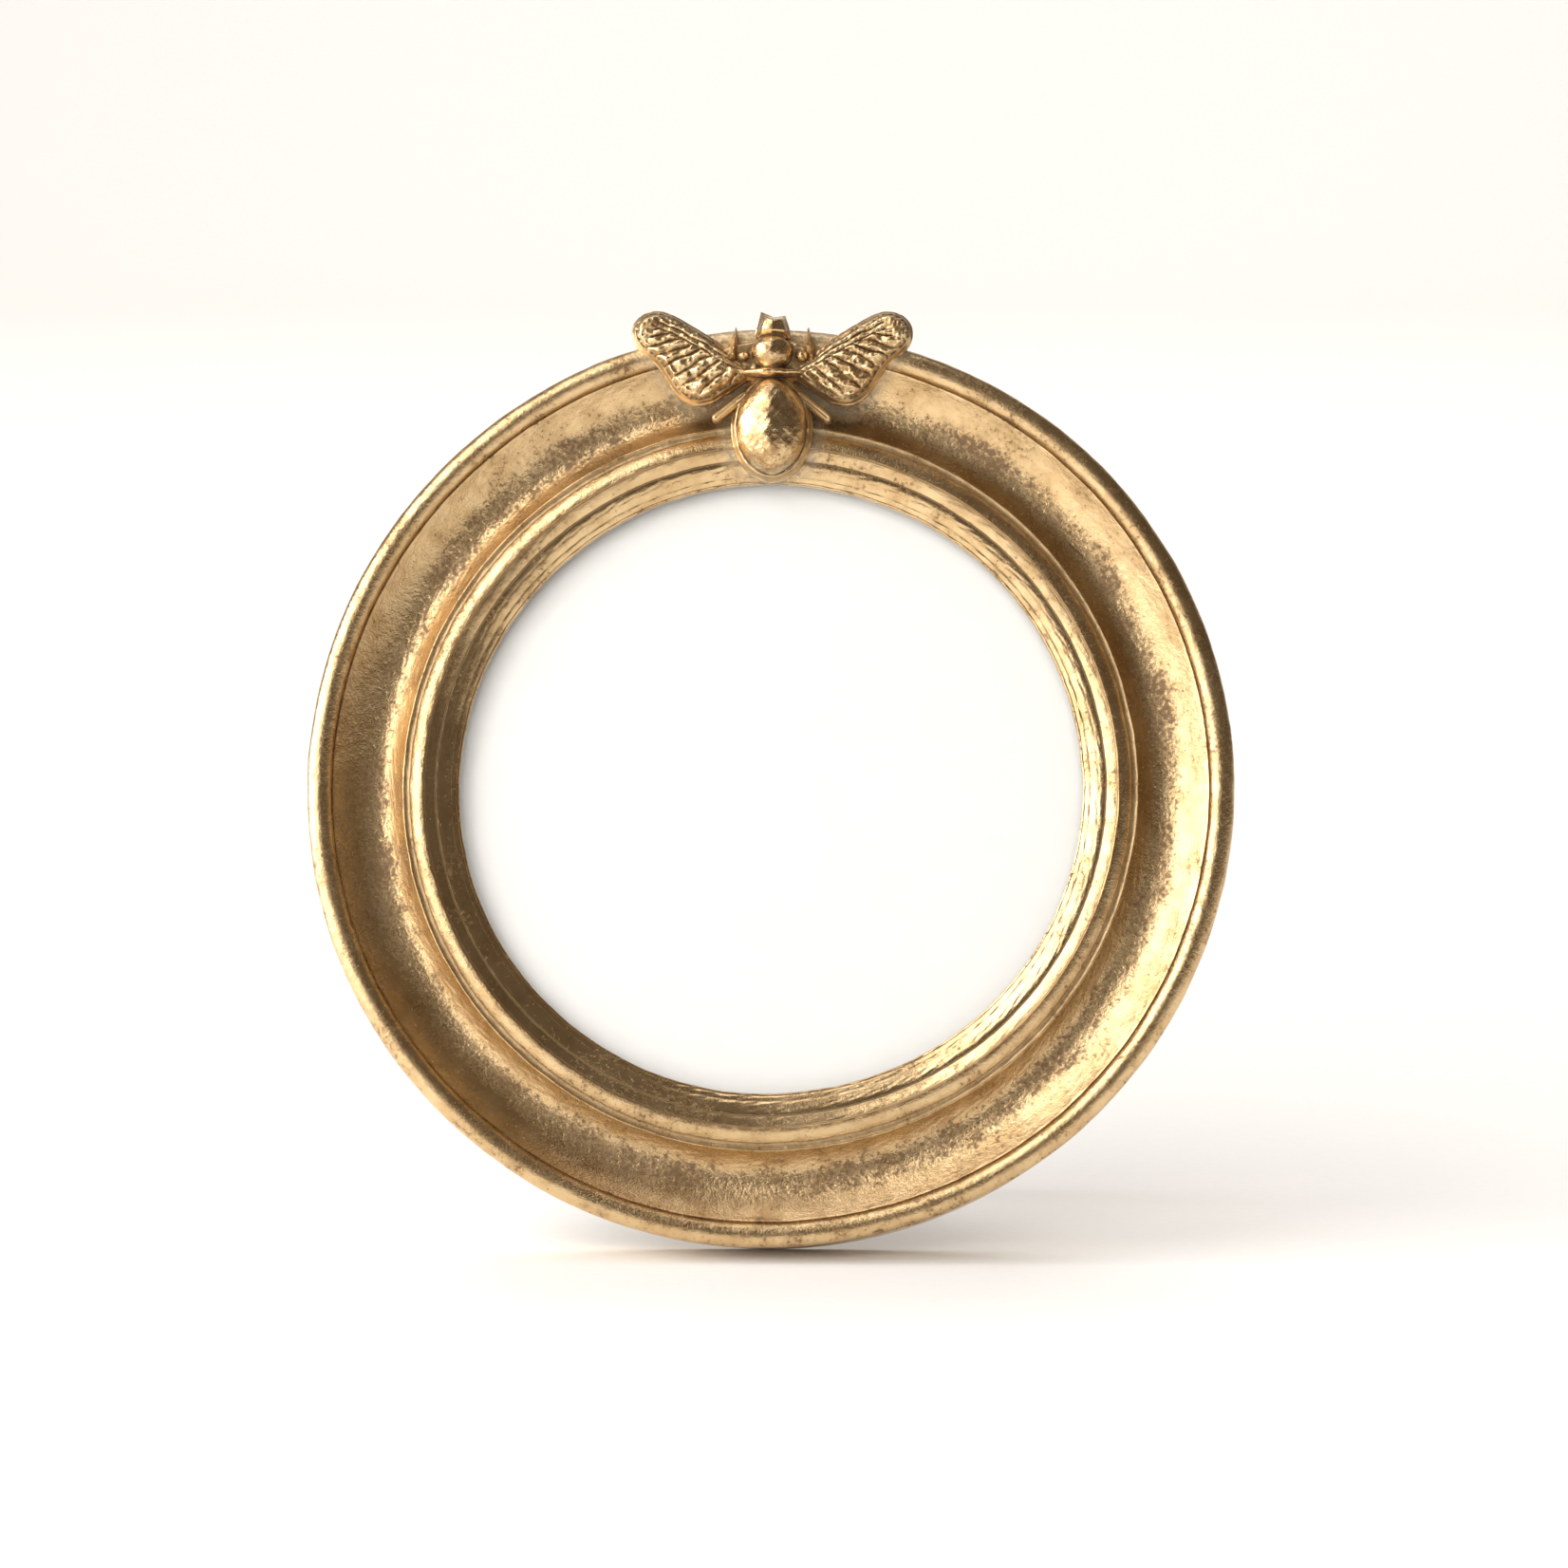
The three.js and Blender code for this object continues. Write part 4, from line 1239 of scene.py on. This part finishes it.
@dataclass(frozen=True)
class SoftBox:
    """A rectangular lamp turned to its target; a lamp that isn't glossy makes no highlight."""

    name: str
    place: tuple[float, float, float]
    size: Pair
    power: float
    tint: Colour = rgb(255, 253, 250)
    target: tuple[float, float, float] = (0.0, 0.0, 0.07)
    glossy: bool = True

    def hang(self) -> None:
        """Puts the lamp in the scene, turned to its target."""
        lamp = bpy.data.lights.new(self.name, "AREA")
        lamp.shape = "RECTANGLE"
        lamp.size, lamp.size_y = self.size
        lamp.energy = self.power
        lamp.color = self.tint
        holder = bpy.data.objects.new(self.name, lamp)
        holder.location = self.place
        holder.rotation_mode = "QUATERNION"
        holder.rotation_quaternion = (Vector(self.target) - Vector(self.place)).to_track_quat("-Z", "Y")
        holder.visible_glossy = self.glossy
        holder.visible_camera = False
        bpy.context.scene.collection.objects.link(holder)
        log.info("soft box %s, %.2f W", self.name, self.power)


@dataclass
class Studio:
    """Pale paper sweep, soft lamps, dim surroundings and the camera."""

    axes: LeaningAxes
    azimuth: float = 1.0
    elevation: float = 7.5
    lens: float = 180.0
    distance: float = 1.184
    aim_right: float = 2.05
    aim_up: float = 0.35
    reach: float = 2.6
    bend_at: float = 2.0
    bend: float = 0.5
    wall_top: float = 2.0
    room: Colour = rgb(214, 194, 172)
    room_strength: float = 0.17
    lamps: tuple[SoftBox, ...] = (
        SoftBox("window_left", (-0.68, -0.36, 0.54), (0.9, 1.1), 11.5),
        SoftBox("side_strip", (-0.85, 0.03, 0.2), (0.18, 0.55), 4.5),
        SoftBox("skylight", (-0.1, 0.1, 0.95), (0.45, 0.45), 1.6, rgb(250, 250, 255)),
        SoftBox("card_fill", (-0.3, -1.5, 0.6), (1.2, 1.0), 21, glossy=False),
        SoftBox("backdrop_wash", (0.0, 1.3, 1.6), (2.4, 1.4), 40, target=(0.0, 1.5, 0.0), glossy=False),
    )

    def sweep(self) -> None:
        """Lays the floor and curves it up far behind the frame."""
        bend = arc((self.bend_at, self.bend), (self.bend, self.bend), -90, 0, 16)
        line = np.vstack([[-self.reach, 0], bend, [self.bend_at + self.bend, self.wall_top]])
        points = [(x, y, z) for y, z in line.tolist() for x in (-self.reach, self.reach)]
        faces = [(i, i + 1, i + 3, i + 2) for i in range(0, 2 * len(line) - 2, 2)]
        mesh = bpy.data.meshes.new("paper_sweep")
        mesh.from_pydata(points, [], faces)
        mesh.shade_smooth()
        mesh.materials.append(StudioPaper("studio_paper").material())
        paper = bpy.data.objects.new("paper_sweep", mesh)
        bpy.context.scene.collection.objects.link(paper)

    def surroundings(self) -> None:
        """Dim warm room light from all round."""
        world = bpy.data.worlds.new("room")
        world.use_nodes = True
        background = world.node_tree.nodes["Background"]
        background.inputs["Color"].default_value = (*self.room, 1)
        background.inputs["Strength"].default_value = self.room_strength
        bpy.context.scene.world = world

    def camera(self) -> None:
        """Aims the camera at the ring, a little below its axis."""
        turn, rise = math.radians(self.azimuth), math.radians(self.elevation)
        level = Vector((math.sin(turn), -math.cos(turn), 0))
        back = level * math.cos(rise) + Vector((0, 0, math.sin(rise)))
        aim = (-back).to_track_quat("-Z", "Y")
        right, up = aim @ Vector((1, 0, 0)), aim @ Vector((0, 1, 0))
        target = self.axes.point(0, 10.6, 0) + right * self.aim_right * MM + up * self.aim_up * MM
        data = bpy.data.cameras.new("portrait_camera")
        data.lens = self.lens
        data.clip_start, data.clip_end = 0.01, 20
        camera = bpy.data.objects.new("portrait_camera", data)
        camera.rotation_mode = "QUATERNION"
        camera.rotation_quaternion = aim
        camera.location = target + back * self.distance
        bpy.context.scene.collection.objects.link(camera)
        bpy.context.scene.camera = camera

    def build(self) -> None:
        """Sets the whole studio up."""
        self.camera()
        self.sweep()
        self.surroundings()
        for lamp in self.lamps:
            lamp.hang()
        view = bpy.context.scene.view_settings
        view.view_transform = "Standard"
        view.look = "None"


def main() -> None:
    """Builds the frame's looks piece by piece, then the studio."""
    axes = LeaningAxes.from_glass()
    bee = ReliefBee(axes)
    GiltMoulding(axes).build(bee.outline())
    bee.build()
    PictureStack().build()
    TurnFasteners(axes).build()
    EaselStand(axes).build()
    WallFittings().build()
    Studio(axes).build()


if __name__ == "__main__":
    main()
